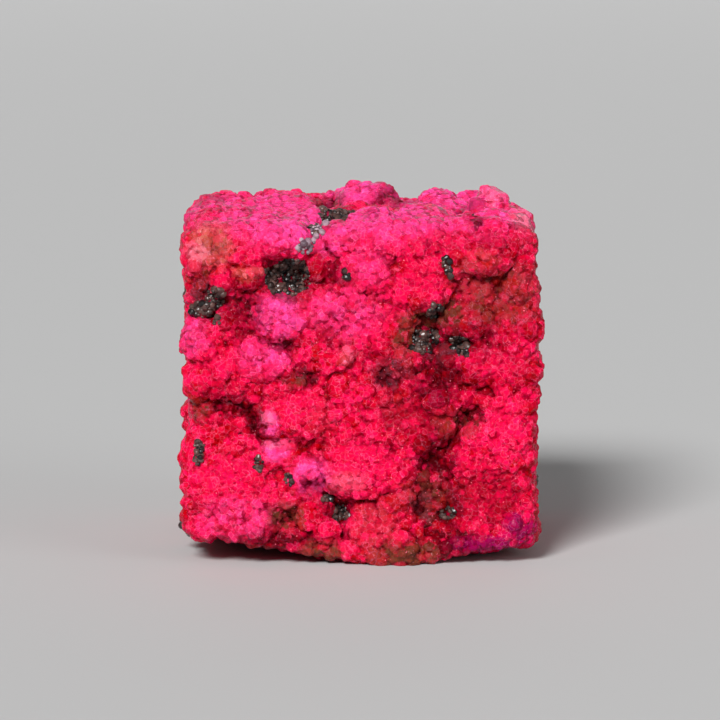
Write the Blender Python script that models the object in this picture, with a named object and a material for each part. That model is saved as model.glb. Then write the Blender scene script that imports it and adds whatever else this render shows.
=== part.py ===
"""A hand specimen of ruby: a rough block of red crystals that grew together as one stone.

Run with: blender --background --python part.py

Metres, +Z up. The origin is on the ground under the middle of the block. The block's broad
front looks along -Y, +X is to its right, and it rests on the flat patch of its underside.
"""

import math
import random

import bmesh
import bpy
from mathutils import Vector, noise

MM = 0.001

# The block between its lumps: half its width, half its depth and its whole height.
HALF_WIDTH = 19.1 * MM
HALF_DEPTH = 19.0 * MM
HEIGHT = 36.8 * MM
EDGE_RADIUS = 1.9 * MM
CELLS_PER_SIDE = 28

# Where a lump or a hollow stops being level and begins to fall away, as a share of its reach.
LEVEL_SHARE = 0.2

# The stone's outline wanders: how far it is pushed about, and over what distance.
WANDER = 0.6 * MM
WANDER_SPAN = 6.0 * MM
# Where the wandering is read for each of the three directions, so that they differ.
WANDER_OFFSETS = (Vector((9.3, -1.5, -7.9)), Vector((0.0, 0.0, 0.0)), Vector((-5.1, 6.2, 3.4)))
# Small unevenness on top of the lumps.
UNEVEN = 0.35 * MM
UNEVEN_SPAN = 3.0 * MM

# The underside is a shallow keel. It is level over a wedge that opens towards the back, and
# its flanks climb to the two front corners.
KEEL_X = 3.0 * MM
KEEL_FRONT_HALF_WIDTH = 1.0 * MM
KEEL_OPENING = 0.75
KEEL_MOST_HALF_WIDTH = 14.0 * MM
KEEL_SLOPE = 0.19
KEEL_FADE_HEIGHT = 9.0 * MM
# Anything lower than this on the underside is worn level, so that the stone stands.
REST_LEVEL = 0.55 * MM

# Lumps of the front, in millimetres: across, up, half width, half height, rise.
FRONT_LUMPS = {
    "lower_left_slab": (-14.6, 10.6, 4.4, 5.0, 0.9),
    "lower_left_slab_foot": (-13.8, 6.0, 4.8, 3.2, 0.81),
    "slab_shoulder": (-9.8, 8.4, 3.2, 2.2, 0.63),
    "violet_saddle": (-9.2, 12.4, 2.2, 1.5, 0.54),
    "violet_saddle_end": (-6.6, 10.8, 1.9, 1.4, 0.54),
    "middle_left_dome": (-7.2, 17.2, 3.9, 3.1, 1.17),
    "middle_left_lip": (-9.8, 15.8, 1.6, 1.9, 1.17),
    "middle_left_crown": (-8.6, 19.8, 2.6, 1.7, 0.72),
    "lower_middle_dome": (-0.4, 10.9, 3.8, 3.2, 1.44),
    "lower_middle_dome_end": (3.0, 10.4, 2.4, 2.4, 0.99),
    "right_dome": (15.2, 14.6, 3.3, 3.1, 1.26),
    "right_dome_foot": (15.6, 11.8, 2.8, 1.7, 1.08),
    "right_dome_collar": (12.5, 13.6, 1.5, 2.0, 0.72),
    "lower_right_knob": (11.6, 11.3, 1.8, 1.8, 0.81),
    "lower_right_slab": (14.6, 7.2, 3.8, 3.4, 0.45),
    "lower_right_toe": (12.6, 4.4, 1.9, 1.9, 0.72),
    "foot_lump": (1.2, 4.4, 2.5, 3.3, 1.08),
    "foot_lump_top": (3.2, 6.6, 2.0, 1.6, 0.63),
    "foot_beads": (4.8, 3.2, 1.8, 1.6, 0.45),
    "crimson_flat": (4.6, 15.6, 4.4, 2.4, 0.54),
    "middle_ridge_foot": (-3.9, 22.8, 2.2, 1.6, 0.72),
    "middle_ridge": (0.8, 25.6, 3.6, 2.4, 0.81),
    "middle_ridge_top": (-0.6, 28.4, 3.0, 2.0, 0.72),
    "middle_shelf": (-1.6, 19.8, 2.9, 1.9, 0.54),
    "upper_left_lobe": (-9.0, 27.3, 3.0, 2.5, 1.08),
    "upper_left_lobe_end": (-5.6, 28.2, 2.2, 1.7, 0.9),
    "left_ridge": (-10.9, 22.7, 3.0, 2.5, 0.99),
    "left_ridge_end": (-14.6, 22.4, 2.4, 1.7, 0.72),
    "left_edge_lump": (-17.8, 24.6, 1.8, 1.9, 0.81),
    "left_slab": (-16.2, 20.4, 2.4, 1.7, 0.54),
    "ledge_over_pocket": (-9.2, 35.4, 3.1, 1.8, 1.35),
    "ledge_end": (-13.2, 34.6, 2.8, 1.8, 0.72),
    "tan_corner": (-16.6, 34.6, 2.2, 1.8, 0.45),
    "upper_middle_dome": (0.5, 32.7, 2.8, 2.5, 0.72),
    "upper_right_dome": (6.2, 32.0, 3.0, 2.9, 0.81),
    "upper_right_dome_foot": (6.8, 29.6, 2.4, 1.5, 0.99),
    "upper_middle_slab": (3.0, 35.4, 5.4, 1.5, 0.54),
    "top_right_slab": (14.0, 34.6, 5.0, 2.2, 0.45),
    "dark_red_shelf": (11.5, 27.0, 2.3, 1.7, 0.54),
    "right_cheek": (17.0, 26.0, 2.2, 2.2, 0.54),
    "right_slab": (14.0, 22.2, 2.9, 2.1, 0.9),
    "right_slab_end": (17.2, 21.6, 2.0, 2.1, 0.81),
    "right_slab_foot": (17.6, 18.4, 1.6, 1.8, 0.54),
    "rosy_patch": (4.4, 22.8, 2.0, 1.5, 0.45),
    "foot_edge": (1.4, 0.9, 6.4, 2.4, 1.17),
}

# Hollows of the front, in the same measures. The last number is the depth.
FRONT_HOLLOWS = {
    "black_pocket": (-8.2, 31.5, 2.9, 2.0, 1.5),
    "left_black_pocket_top": (-16.0, 29.3, 1.3, 1.6, 0.98),
    "dark_red_hollow": (-12.8, 28.2, 2.9, 2.6, 0.83),
    "left_crevice": (-15.3, 17.2, 2.7, 1.2, 0.9),
    "left_crevice_inner": (-12.4, 16.4, 1.7, 1.2, 0.9),
    "right_black_pocket": (6.9, 24.8, 2.2, 2.1, 1.58),
    "right_black_pocket_end": (10.6, 24.0, 1.9, 1.2, 0.9),
    "brown_shelf": (14.9, 29.9, 4.8, 2.3, 0.45),
    "grey_patch": (2.7, 20.6, 1.9, 1.7, 0.45),
    "plum_patch": (7.6, 21.2, 2.6, 2.1, 0.68),
    "slanting_crevice_high": (10.2, 15.2, 1.7, 1.3, 0.98),
    "slanting_crevice_middle": (9.0, 13.4, 1.6, 1.5, 1.12),
    "slanting_crevice_low": (7.8, 11.2, 1.9, 2.2, 0.98),
    "slanting_crevice_foot": (7.6, 8.4, 2.4, 2.2, 0.9),
    "crevice_foot_left": (5.9, 6.4, 1.6, 1.8, 0.98),
    "crevice_foot_right": (9.3, 5.6, 1.7, 1.3, 0.98),
    "crevice_toe": (8.6, 3.0, 3.2, 1.6, 0.68),
    "olive_patch": (-8.4, 5.0, 2.7, 1.9, 0.9),
    "gap_by_dome": (-5.8, 13.0, 2.6, 0.9, 0.52),
    "gap_under_gap": (-5.4, 9.0, 1.7, 1.4, 0.6),
    "crimson_hollow": (-3.4, 33.6, 1.6, 1.9, 0.75),
}

# Lumps and hollows of the top: across, back from the front edge, half width, half depth, rise.
TOP_LUMPS = {
    "back_crest": (1.0, 33.0, 3.6, 4.2, 2.1),
    "left_back_crest": (-8.6, 32.0, 4.0, 4.6, 1.2),
    "left_back_corner": (-15.6, 32.6, 3.0, 4.0, 0.9),
    "left_edge_terrace": (-16.6, 25.0, 2.2, 5.0, 0.5),
    "right_back_crest": (9.2, 31.0, 2.4, 4.0, 1.6),
    "left_lobe": (-10.5, 6.0, 3.4, 3.6, 0.9),
    "left_middle_lobe": (-14.6, 17.0, 3.4, 5.0, 0.9),
    "magenta_lobe": (1.2, 8.0, 2.6, 5.0, 1.4),
    "middle_terrace": (6.6, 13.0, 3.4, 5.0, 1.2),
    "right_terrace": (15.0, 9.0, 2.6, 4.0, 1.0),
    "right_edge_terrace": (18.0, 12.0, 1.6, 4.0, 1.1),
    "crystal_seat": (14.6, 21.0, 2.6, 3.0, 1.5),
}
TOP_HOLLOWS = {
    "seam_front": (-4.4, 7.0, 1.3, 3.4, 1.4),
    "seam_middle": (-2.6, 13.0, 1.3, 3.4, 1.4),
    "seam_back": (-0.4, 20.0, 1.5, 3.4, 1.4),
    "dark_saddle": (3.6, 25.0, 2.4, 3.0, 1.4),
    "brown_saddle": (-3.6, 30.0, 1.6, 4.0, 1.4),
    "dark_hole": (12.2, 11.0, 1.3, 2.4, 1.9),
    "right_back_slope": (18.5, 34.0, 3.0, 5.0, 1.6),
}

# The back and the two sides carry lumps and hollows of the same kinds, scattered: how many
# to a side, and in millimetres how far each reaches and how much it rises or sinks.
SCATTER_SEED = 29
LUMPS_PER_SIDE = 14
LUMP_REACH = (2.2, 4.6)
LUMP_RISE = (0.2, 0.8)
HOLLOWS_PER_SIDE = 9
HOLLOW_REACH = (1.6, 2.8)
HOLLOW_DEPTH = (0.6, 1.5)
# Back, left and right: the axis that points out of the side, and which way.
PLAIN_SIDES = ((1, 1), (0, -1), (0, 1))
# How far a lump reaches in the direction that it rises in.
LUMP_THICKNESS = 7.0
# A hollow that crosses an edge of the block is no deeper than this.
EDGE_CUT = 1.2 * MM


def clear_scene():
    """Removes what the startup file holds."""
    for thing in list(bpy.data.objects):
        bpy.data.objects.remove(thing, do_unlink=True)


def smooth_step(low, high, value):
    """0 below low, 1 above high, and a smooth climb between them."""
    share = min(max((value - low) / (high - low), 0.0), 1.0)
    return share * share * (3.0 - 2.0 * share)


def on_front(across, up, half_width, half_height, rise):
    """A lump of the front as its middle, its reach each way and its rise, in metres."""
    middle = Vector((across * MM, -HALF_DEPTH, up * MM))
    reach = Vector((half_width, LUMP_THICKNESS, half_height)) * MM
    return middle, reach, rise * MM


def on_top(across, back, half_width, half_depth, rise):
    """A lump of the top, placed by its distance back from the front edge."""
    middle = Vector((across * MM, back * MM - HALF_DEPTH, HEIGHT))
    reach = Vector((half_width, half_depth, LUMP_THICKNESS)) * MM
    return middle, reach, rise * MM


def scattered(chance, axis, sign, count, reach_range, rise_range):
    """Lumps or hollows anywhere on one of the plain sides, in the same form."""
    half_size = Vector((HALF_WIDTH, HALF_DEPTH, HEIGHT / 2))
    for _ in range(count):
        rise = chance.uniform(*rise_range) * MM
        reach = Vector([chance.uniform(*reach_range) for _ in range(3)]) * MM
        middle = Vector([chance.uniform(-1, 1) * room for room in half_size - reach])
        middle[axis] = sign * half_size[axis]
        reach[axis] = LUMP_THICKNESS * MM
        yield middle + Vector((0.0, 0.0, HEIGHT / 2)), reach, rise


def all_relief():
    """Every lump and every hollow of the stone, as two lists."""
    lumps = [on_front(*sizes) for sizes in FRONT_LUMPS.values()]
    lumps += [on_top(*sizes) for sizes in TOP_LUMPS.values()]
    hollows = [on_front(*sizes) for sizes in FRONT_HOLLOWS.values()]
    hollows += [on_top(*sizes) for sizes in TOP_HOLLOWS.values()]
    chance = random.Random(SCATTER_SEED)
    for side in PLAIN_SIDES:
        lumps += scattered(chance, *side, LUMPS_PER_SIDE, LUMP_REACH, LUMP_RISE)
        hollows += scattered(chance, *side, HOLLOWS_PER_SIDE, HOLLOW_REACH, HOLLOW_DEPTH)
    return lumps, hollows


def strongest(point, bumps):
    """The most that any one of these lumps or hollows moves this point."""
    most = 0.0
    for middle, reach, rise in bumps:
        away = point - middle
        share = math.sqrt(sum((away[k] / reach[k]) ** 2 for k in range(3)))
        if share < 1.0:
            most = max(most, rise * (1.0 - smooth_step(LEVEL_SHARE, 1.0, share)))
    return most


def on_rounded_block(point):
    """A point of the plain block moved onto its rounded edges, and the way out from there."""
    low = Vector((-HALF_WIDTH, -HALF_DEPTH, 0.0))
    high = Vector((HALF_WIDTH, HALF_DEPTH, HEIGHT))
    inner = Vector(
        min(max(point[k], low[k] + EDGE_RADIUS), high[k] - EDGE_RADIUS) for k in range(3)
    )
    outward = (point - inner).normalized()
    return inner + outward * EDGE_RADIUS, outward


def keel_lift(point):
    """How far the underside's flanks raise this point."""
    half_width = KEEL_FRONT_HALF_WIDTH + KEEL_OPENING * (point.y + HALF_DEPTH)
    half_width = min(half_width, KEEL_MOST_HALF_WIDTH)
    rise = KEEL_SLOPE * max(0.0, abs(point.x - KEEL_X) - half_width)
    return rise * (1.0 - smooth_step(0.0, KEEL_FADE_HEIGHT, point.z))


def wandered(place):
    """Where this place is felt to be, once the stone's outline wanders."""
    shares = [noise.noise(place / WANDER_SPAN + offset) for offset in WANDER_OFFSETS]
    return place + Vector(shares) * WANDER


def weathered(point, lumps, hollows):
    """Where a point of the plain block ends up on the finished stone."""
    place, outward = on_rounded_block(point)
    felt = wandered(place)
    out = strongest(felt, lumps) - strongest(felt, hollows)
    out += UNEVEN * noise.noise(place / UNEVEN_SPAN)
    if max(abs(share) for share in outward) < 0.999:
        out = max(out, -EDGE_CUT)
    place = place + outward * out
    place.z += keel_lift(place)
    if outward.z < -0.5 and place.z < REST_LEVEL:
        place.z = 0.0
    return place


def block_mesh(name):
    """The block as a grid of cells on six sides, moved point by point to the stone's shape."""
    mesh = bpy.data.meshes.new(name)
    shape = bmesh.new()
    bmesh.ops.create_cube(shape, size=2.0)
    bmesh.ops.subdivide_edges(
        shape, edges=shape.edges[:], cuts=CELLS_PER_SIDE - 1, use_grid_fill=True
    )
    lumps, hollows = all_relief()
    for vertex in shape.verts:
        x, y, z = vertex.co
        plain = Vector((x * HALF_WIDTH, y * HALF_DEPTH, (z + 1.0) / 2.0 * HEIGHT))
        vertex.co = weathered(plain, lumps, hollows)
    bmesh.ops.triangulate(shape, faces=shape.faces[:])
    bmesh.ops.recalc_face_normals(shape, faces=shape.faces[:])
    shape.to_mesh(mesh)
    shape.free()
    return mesh


def ruby_material():
    """Deep pinkish red with the glassy skin of broken crystal."""
    material = bpy.data.materials.new("ruby")
    material.use_nodes = True
    shader = material.node_tree.nodes["Principled BSDF"]
    shader.inputs["Base Color"].default_value = (0.78, 0.03, 0.10, 1.0)
    shader.inputs["Roughness"].default_value = 0.3
    shader.inputs["Metallic"].default_value = 0.0
    shader.inputs["IOR"].default_value = 1.77
    return material


def make_stone():
    """The one solid of this part."""
    stone = bpy.data.objects.new("ruby", block_mesh("ruby"))
    bpy.context.scene.collection.objects.link(stone)
    stone.data.materials.append(ruby_material())
    return stone


clear_scene()
make_stone()
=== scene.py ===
# %% [markdown]
# # A rough ruby, built crystal by crystal
#
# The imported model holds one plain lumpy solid, the size and shape of the stone. A real
# block of granular ruby is thousands of small crystals that grew into each other. This
# script grows that skin: lumps on the block, clusters on the lumps, crystals on the
# clusters and fine sugar on the crystals, all fused into one surface.

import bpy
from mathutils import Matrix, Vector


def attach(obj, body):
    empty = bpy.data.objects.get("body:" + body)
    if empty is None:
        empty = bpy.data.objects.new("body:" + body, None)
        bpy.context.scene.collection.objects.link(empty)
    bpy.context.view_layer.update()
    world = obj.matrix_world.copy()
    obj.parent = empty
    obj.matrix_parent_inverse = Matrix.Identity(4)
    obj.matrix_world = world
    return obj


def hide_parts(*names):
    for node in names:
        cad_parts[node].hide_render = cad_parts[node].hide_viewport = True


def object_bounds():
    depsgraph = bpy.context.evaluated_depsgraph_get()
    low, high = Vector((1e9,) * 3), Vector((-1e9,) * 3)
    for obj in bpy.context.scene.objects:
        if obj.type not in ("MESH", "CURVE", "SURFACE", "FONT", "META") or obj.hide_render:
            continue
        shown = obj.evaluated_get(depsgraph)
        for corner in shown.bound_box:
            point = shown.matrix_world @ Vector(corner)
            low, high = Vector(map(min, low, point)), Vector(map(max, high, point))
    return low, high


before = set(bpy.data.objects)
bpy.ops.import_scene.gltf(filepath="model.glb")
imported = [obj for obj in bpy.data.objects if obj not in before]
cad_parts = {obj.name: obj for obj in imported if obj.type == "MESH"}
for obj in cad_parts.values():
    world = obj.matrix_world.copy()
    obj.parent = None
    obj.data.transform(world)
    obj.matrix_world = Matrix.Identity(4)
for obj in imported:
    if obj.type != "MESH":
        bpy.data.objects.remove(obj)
cad_box = [list(corner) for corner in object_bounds()]

import itertools
import math
import random
import time

import bmesh
import bpy
import numpy as np
from mathutils import Vector

START = time.time()
print("CAD box, mm:", [[round(1000 * value, 2) for value in corner] for corner in cad_box])


def note(*words):
    """Prints what was made, and how many seconds in."""
    print(*words, "-", round(time.time() - START, 1), "s in")


# %% [markdown]
# ## A field instead of a mesh
#
# Joining thousands of crystals with Booleans would take hours. Instead the stone is worked
# out as a *field*: a number at each point of a fine grid, positive inside the stone,
# negative outside, and zero on its skin. Joining two shapes is then just taking the larger
# number, so the crystals fuse with no seams.
# All the work is in millimetres until the meshes are made.

# %% Grids
MM = 0.001


def make_grid(low, high, step):
    """A box of points, step apart, with room for the field and for who owns each point."""
    axes = [np.arange(first, last, step, dtype=np.float32) for first, last in zip(low, high)]
    shape = [len(axis) for axis in axes]
    return {"low": np.array(low), "step": step, "axes": axes,
            "field": np.full(shape, -9.0, np.float32), "owner": np.full(shape, -1, np.int32)}


def window(grid, middle, reach):
    """The part of the grid round a point, as slices and as offsets from the point."""
    part = []
    offsets = []
    for axis, first, centre, half in zip(grid["axes"], grid["low"], middle, reach):
        start = max(0, math.ceil((centre - half - first) / grid["step"]))
        stop = max(start, math.ceil((centre + half - first) / grid["step"]))
        part.append(slice(start, stop))
        offsets.append(axis[start:stop] - np.float32(centre))
    return tuple(part), offsets


# %% [markdown]
# ## The plain block
#
# Under its crust the stone is a rough block, nearly a cube, with worn edges. It stands on a
# low keel: underneath, two flanks rise to the left and to the right, most of all in front.
# The block is a box with round edges, given a slow waviness by adding a few sine waves.

# %% Block
HALF_WIDTH = 18.5
HALF_DEPTH = 18.9
HEIGHT = 36.5
EDGE_RADIUS = 1.7
MIDDLE = np.array([0.0, 0.0, HEIGHT / 2])
HALF_SIZE = np.array([HALF_WIDTH, HALF_DEPTH, HEIGHT / 2])
# Underneath, two flanks rise from a low keel that is narrow in front and wide behind.
KEEL_X = 3.0
KEEL_FRONT_HALF_WIDTH = 1.0
KEEL_OPENING = 0.75
KEEL_MOST_HALF_WIDTH = 14.0
KEEL_SLOPE = 0.18
# The front leans back above this height.
BROW_HEIGHT = 34.5
BROW_SLOPE = 0.35
UNEVEN = 0.16
UNEVEN_WAVES = 7
UNEVEN_SPANS = (5.0, 9.0)


def plain_block(grid):
    """Fills a grid with a box that has round edges, an uneven skin and a keel underneath."""
    beyond = [
        np.abs(axis - centre) - (half - EDGE_RADIUS)
        for axis, centre, half in zip(grid["axes"], MIDDLE, HALF_SIZE)
    ]
    x, y, z = np.ix_(*beyond)
    outside = np.sqrt(np.maximum(x, 0) ** 2 + np.maximum(y, 0) ** 2 + np.maximum(z, 0) ** 2)
    field = EDGE_RADIUS - outside - np.minimum(np.maximum(np.maximum(x, y), z), 0)
    x, y, z = np.ix_(*grid["axes"])
    chance = random.Random(5)
    for _ in range(UNEVEN_WAVES):
        direction = Vector([chance.gauss(0, 1) for _ in range(3)]).normalized()
        pitch = direction * math.tau / chance.uniform(*UNEVEN_SPANS)
        field += UNEVEN * np.sin(pitch.x * x + pitch.y * y + (pitch.z * z + chance.uniform(0, 6)))
    brow = y + HALF_DEPTH - BROW_SLOPE * (z - BROW_HEIGHT)
    grid["field"] = np.minimum(field, brow).astype(np.float32)


def cut_underside(grid):
    """Cuts away all that is below the keel's flanks."""
    x, y, z = np.ix_(*grid["axes"])
    half_width = np.minimum(KEEL_FRONT_HALF_WIDTH + KEEL_OPENING * (y + HALF_DEPTH), KEEL_MOST_HALF_WIDTH)
    flank = KEEL_SLOPE * np.maximum(np.abs(x - KEEL_X) - half_width, 0)
    grid["field"] = np.minimum(grid["field"], z - flank)


# %% [markdown]
# ## Lumps and hollows
#
# The crystals grew in bunches, so the block bulges here and is pitted there. The front is
# what people look at, so each of its lumps and hollows has a name and a place. They could
# be sculpted, but a list of egg shapes is easy to read and to change.

# %% Front lumps
# Across, up, half width, half height, rise.
FRONT_LUMPS = {
    "lower_left_slab": (-14.6, 10.6, 4.4, 5.0, 1.0),
    "lower_left_slab_foot": (-13.8, 6.0, 4.8, 3.2, 0.9),
    "slab_shoulder": (-9.8, 8.4, 3.2, 2.2, 0.7),
    "violet_saddle": (-9.2, 12.4, 2.2, 1.5, 0.6),
    "violet_saddle_end": (-6.6, 10.8, 1.9, 1.4, 0.6),
    "middle_left_dome": (-7.2, 17.2, 3.9, 3.1, 1.3),
    "middle_left_lip": (-9.8, 15.8, 1.6, 1.9, 1.3),
    "middle_left_crown": (-8.6, 19.8, 2.6, 1.7, 0.8),
    "lower_middle_dome": (-0.4, 10.9, 3.8, 3.2, 1.6),
    "lower_middle_dome_end": (3.0, 10.4, 2.4, 2.4, 1.1),
    "right_dome": (15.2, 14.6, 3.3, 3.1, 1.4),
    "right_dome_foot": (15.6, 11.8, 2.8, 1.7, 1.2),
    "right_dome_collar": (12.5, 13.6, 1.5, 2.0, 0.8),
    "lower_right_knob": (11.6, 11.3, 1.8, 1.8, 0.9),
    "lower_right_slab": (14.0, 7.2, 3.5, 3.4, 0.5),
    "lower_right_toe": (12.6, 4.4, 1.9, 1.9, 0.8),
    "corner_toe": (16.6, 4.3, 1.7, 1.6, 0.8),
    "foot_lump": (1.2, 4.4, 2.5, 3.3, 1.2),
    "foot_lump_top": (3.2, 6.6, 2.0, 1.6, 0.7),
    "foot_beads": (4.8, 3.2, 1.8, 1.6, 0.5),
    "pink_cluster": (-4.1, 3.7, 1.3, 1.4, 1.5),
    "pink_cluster_side": (-5.8, 5.3, 1.4, 1.2, 0.9),
    "small_knob": (6.2, 13.3, 1.2, 1.2, 1.1),
    "crimson_flat": (4.6, 15.6, 4.4, 2.4, 0.6),
    "plum_bead": (8.0, 18.1, 1.1, 1.1, 1.0),
    "lavender_crystal": (2.2, 18.3, 0.8, 0.8, 1.1),
    "pale_crystal": (-2.0, 22.9, 1.0, 1.2, 0.7),
    "middle_ridge_foot": (-3.9, 22.8, 2.2, 1.6, 0.8),
    "middle_ridge": (0.8, 25.6, 3.6, 2.4, 0.9),
    "middle_ridge_top": (-0.6, 28.4, 3.0, 2.0, 0.8),
    "dark_red_lump": (-4.0, 25.4, 1.5, 1.4, 0.7),
    "middle_shelf": (-1.6, 19.8, 2.9, 1.9, 0.6),
    "upper_left_lobe": (-9.0, 27.3, 3.0, 2.5, 1.2),
    "upper_left_lobe_end": (-5.6, 28.2, 2.2, 1.7, 1.0),
    "left_ridge": (-10.9, 22.7, 3.0, 2.5, 1.1),
    "left_ridge_end": (-14.6, 22.4, 2.4, 1.7, 0.8),
    "left_edge_lump": (-17.4, 24.6, 1.8, 1.9, 0.7),
    "left_slab": (-16.2, 20.4, 2.4, 1.7, 0.6),
    "ledge_over_pocket": (-9.2, 35.4, 3.1, 1.8, 1.5),
    "ledge_end": (-13.2, 34.6, 2.8, 1.8, 0.8),
    "tan_corner": (-16.6, 34.6, 2.2, 1.8, 0.5),
    "bead_by_pocket": (-15.0, 30.9, 1.2, 1.1, 0.7),
    "bead_by_edge": (-18.0, 32.6, 1.0, 1.0, 0.7),
    "pale_beads": (-12.8, 31.8, 1.3, 1.0, 0.7),
    "upper_middle_dome": (0.5, 32.7, 2.8, 2.5, 0.8),
    "upper_right_dome": (6.2, 32.0, 3.0, 2.9, 0.9),
    "upper_right_dome_foot": (6.8, 29.6, 2.4, 1.5, 1.1),
    "upper_middle_slab": (3.0, 35.4, 5.4, 1.5, 0.6),
    "top_right_slab": (12.4, 34.6, 4.0, 2.2, 0.6),
    "dark_red_shelf": (11.5, 27.0, 2.3, 1.7, 0.6),
    "right_cheek": (16.5, 26.0, 2.2, 2.2, 0.6),
    "right_slab": (14.0, 22.2, 2.9, 2.1, 1.0),
    "right_slab_end": (16.8, 21.6, 2.0, 2.1, 0.9),
    "right_slab_foot": (17.0, 18.4, 1.6, 1.8, 0.6),
    "rosy_patch": (4.4, 22.8, 2.0, 1.5, 0.5),
    "foot_edge_far_left": (-14.6, 3.6, 3.6, 2.6, 0.5),
    "foot_edge_left": (-7.2, 1.8, 5.4, 2.6, 0.6),
    "foot_edge": (1.4, 0.9, 6.4, 2.4, 1.3),
    "foot_edge_right": (10.4, 2.0, 4.4, 2.4, 0.5),
}
print(len(FRONT_LUMPS), "lumps on the front")

# %% Front hollows
# Across, up, half width, half height, depth.
FRONT_HOLLOWS = {
    "black_pocket": (-8.2, 31.5, 2.9, 2.0, 2.6),
    "left_black_pocket": (-17.2, 28.0, 1.5, 1.3, 2.0),
    "left_black_pocket_top": (-16.0, 29.3, 1.3, 1.6, 2.0),
    "dark_red_hollow": (-12.8, 28.2, 2.9, 2.6, 1.1),
    "left_crevice": (-15.3, 17.2, 2.7, 1.2, 1.2),
    "left_crevice_inner": (-12.4, 16.4, 1.7, 1.2, 1.3),
    "left_crevice_tip": (-11.2, 15.0, 1.0, 0.9, 1.8),
    "right_black_pocket": (6.9, 24.8, 2.2, 2.1, 1.9),
    "right_black_pocket_end": (10.6, 24.0, 1.9, 1.2, 1.8),
    "under_right_dome": (7.6, 27.4, 1.9, 1.0, 1.8),
    "under_right_dome_end": (10.4, 29.4, 1.2, 1.5, 1.2),
    "brown_shelf": (14.9, 29.9, 4.8, 2.3, 0.6),
    "grey_patch": (2.7, 20.6, 1.9, 1.7, 0.6),
    "plum_patch": (7.6, 21.2, 2.6, 2.1, 0.9),
    "slanting_crevice_top": (11.8, 16.7, 1.7, 0.9, 1.9),
    "slanting_crevice_high": (10.2, 15.2, 1.7, 1.3, 1.6),
    "slanting_crevice_middle": (9.0, 13.4, 1.6, 1.5, 1.7),
    "slanting_crevice_low": (7.8, 11.2, 1.9, 2.2, 1.3),
    "slanting_crevice_foot": (7.6, 8.4, 2.4, 2.2, 1.2),
    "crevice_foot_left": (5.9, 6.4, 1.6, 1.8, 1.3),
    "crevice_foot_right": (9.3, 5.6, 1.7, 1.3, 1.5),
    "crevice_toe": (8.6, 3.0, 3.2, 1.6, 0.9),
    "olive_patch": (-8.4, 5.0, 2.7, 1.9, 1.2),
    "dark_foot": (-8.6, 2.6, 4.6, 1.2, 1.3),
    "black_corner": (-2.4, 5.6, 1.4, 1.4, 2.0),
    "black_corner_top": (-3.2, 7.5, 1.4, 0.7, 1.4),
    "gap_by_dome": (-5.8, 13.0, 2.6, 0.9, 0.4),
    "gap_under_gap": (-5.4, 9.0, 1.7, 1.4, 0.8),
    "brown_nest": (-6.6, 20.4, 1.7, 1.0, 1.0),
    "crimson_hollow": (-3.4, 33.6, 1.6, 1.9, 1.0),
    "hollow_by_pocket": (-4.4, 31.0, 1.6, 1.2, 1.0),
    "shadow_under_lobe": (-8.2, 24.5, 1.6, 0.5, 0.7),
    "above_left_ridge": (-13.4, 25.3, 2.1, 0.9, 1.0),
    "pits_on_slab": (15.2, 19.9, 0.8, 0.5, 1.2),
    "under_right_slab": (12.6, 18.9, 2.2, 0.7, 1.0),
    "under_cheek": (17.4, 23.9, 1.6, 0.5, 0.8),
}
print(len(FRONT_HOLLOWS), "hollows in the front")

# %% Top lumps and hollows
# Across, back from the front edge, half width, half depth, rise or depth.
TOP_LUMPS = {
    "back_crest": (1.0, 33.0, 3.6, 4.2, 2.1),
    "left_back_crest": (-8.6, 32.0, 4.0, 4.6, 1.2),
    "left_back_corner": (-15.6, 32.6, 3.0, 4.0, 0.9),
    "left_edge_terrace": (-16.6, 25.0, 2.2, 5.0, 0.5),
    "right_back_crest": (9.2, 31.0, 2.4, 4.0, 1.6),
    "left_lobe": (-10.5, 6.0, 3.4, 3.6, 0.9),
    "left_middle_lobe": (-14.6, 17.0, 3.4, 5.0, 0.9),
    "magenta_lobe": (1.2, 8.0, 2.6, 5.0, 1.4),
    "middle_terrace": (6.6, 13.0, 3.4, 5.0, 1.2),
    "right_terrace": (15.0, 9.0, 2.6, 4.0, 1.0),
    "right_edge_terrace": (16.8, 12.0, 1.6, 4.0, 0.8),
    "crystal_seat": (14.6, 21.0, 2.6, 3.0, 1.5),
}
TOP_HOLLOWS = {
    "seam_front": (-4.4, 7.0, 1.3, 3.4, 1.4),
    "seam_middle": (-2.6, 13.0, 1.3, 3.4, 1.4),
    "seam_back": (-0.4, 20.0, 1.5, 3.4, 1.4),
    "dark_saddle": (3.6, 25.0, 2.4, 3.0, 1.4),
    "brown_saddle": (-3.6, 30.0, 1.6, 4.0, 1.4),
    "dark_hole": (12.2, 11.0, 1.3, 2.4, 1.9),
    "right_back_slope": (18.5, 34.0, 3.0, 5.0, 1.6),
}
print(len(TOP_LUMPS), "lumps and", len(TOP_HOLLOWS), "hollows on the top")

# %% [markdown]
# ## The shape of a lump
#
# A lump is an egg with slightly squared shoulders, sunk into the block so that only its cap
# shows. The lists give the width where the cap meets the block, so the whole egg is wider.
# A hollow is the same egg, hung just outside the block and cut away.

# %% Lump and hollow shapes
LUMP_SINK = 1.5
LUMP_TILT = 0.22
RISE_SHARE = 0.85
# Shallow hollows are made shallower still; the deep pockets keep their depth.
SHALLOW = 1.8
DEPTH_SHARE = 0.75
HOLLOW_STAND = 0.4
LUMP_SQUARENESS = 2.5
ROOM = 1.3


def sunk(half, sink, rise):
    """The full reach of a lump that is this wide where it meets the plain block."""
    share = (sink / (sink + rise)) ** LUMP_SQUARENESS
    return half / (1.0 - share) ** (1 / LUMP_SQUARENESS)


def on_front(across, up, half_width, half_height, rise, sink=LUMP_SINK):
    """A front lump's middle, inside the block, and its reach each way."""
    rise = rise * RISE_SHARE
    reach = (sunk(half_width, sink, rise), sink + rise, sunk(half_height, sink, rise))
    return (across, sink - HALF_DEPTH, up), reach


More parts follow.
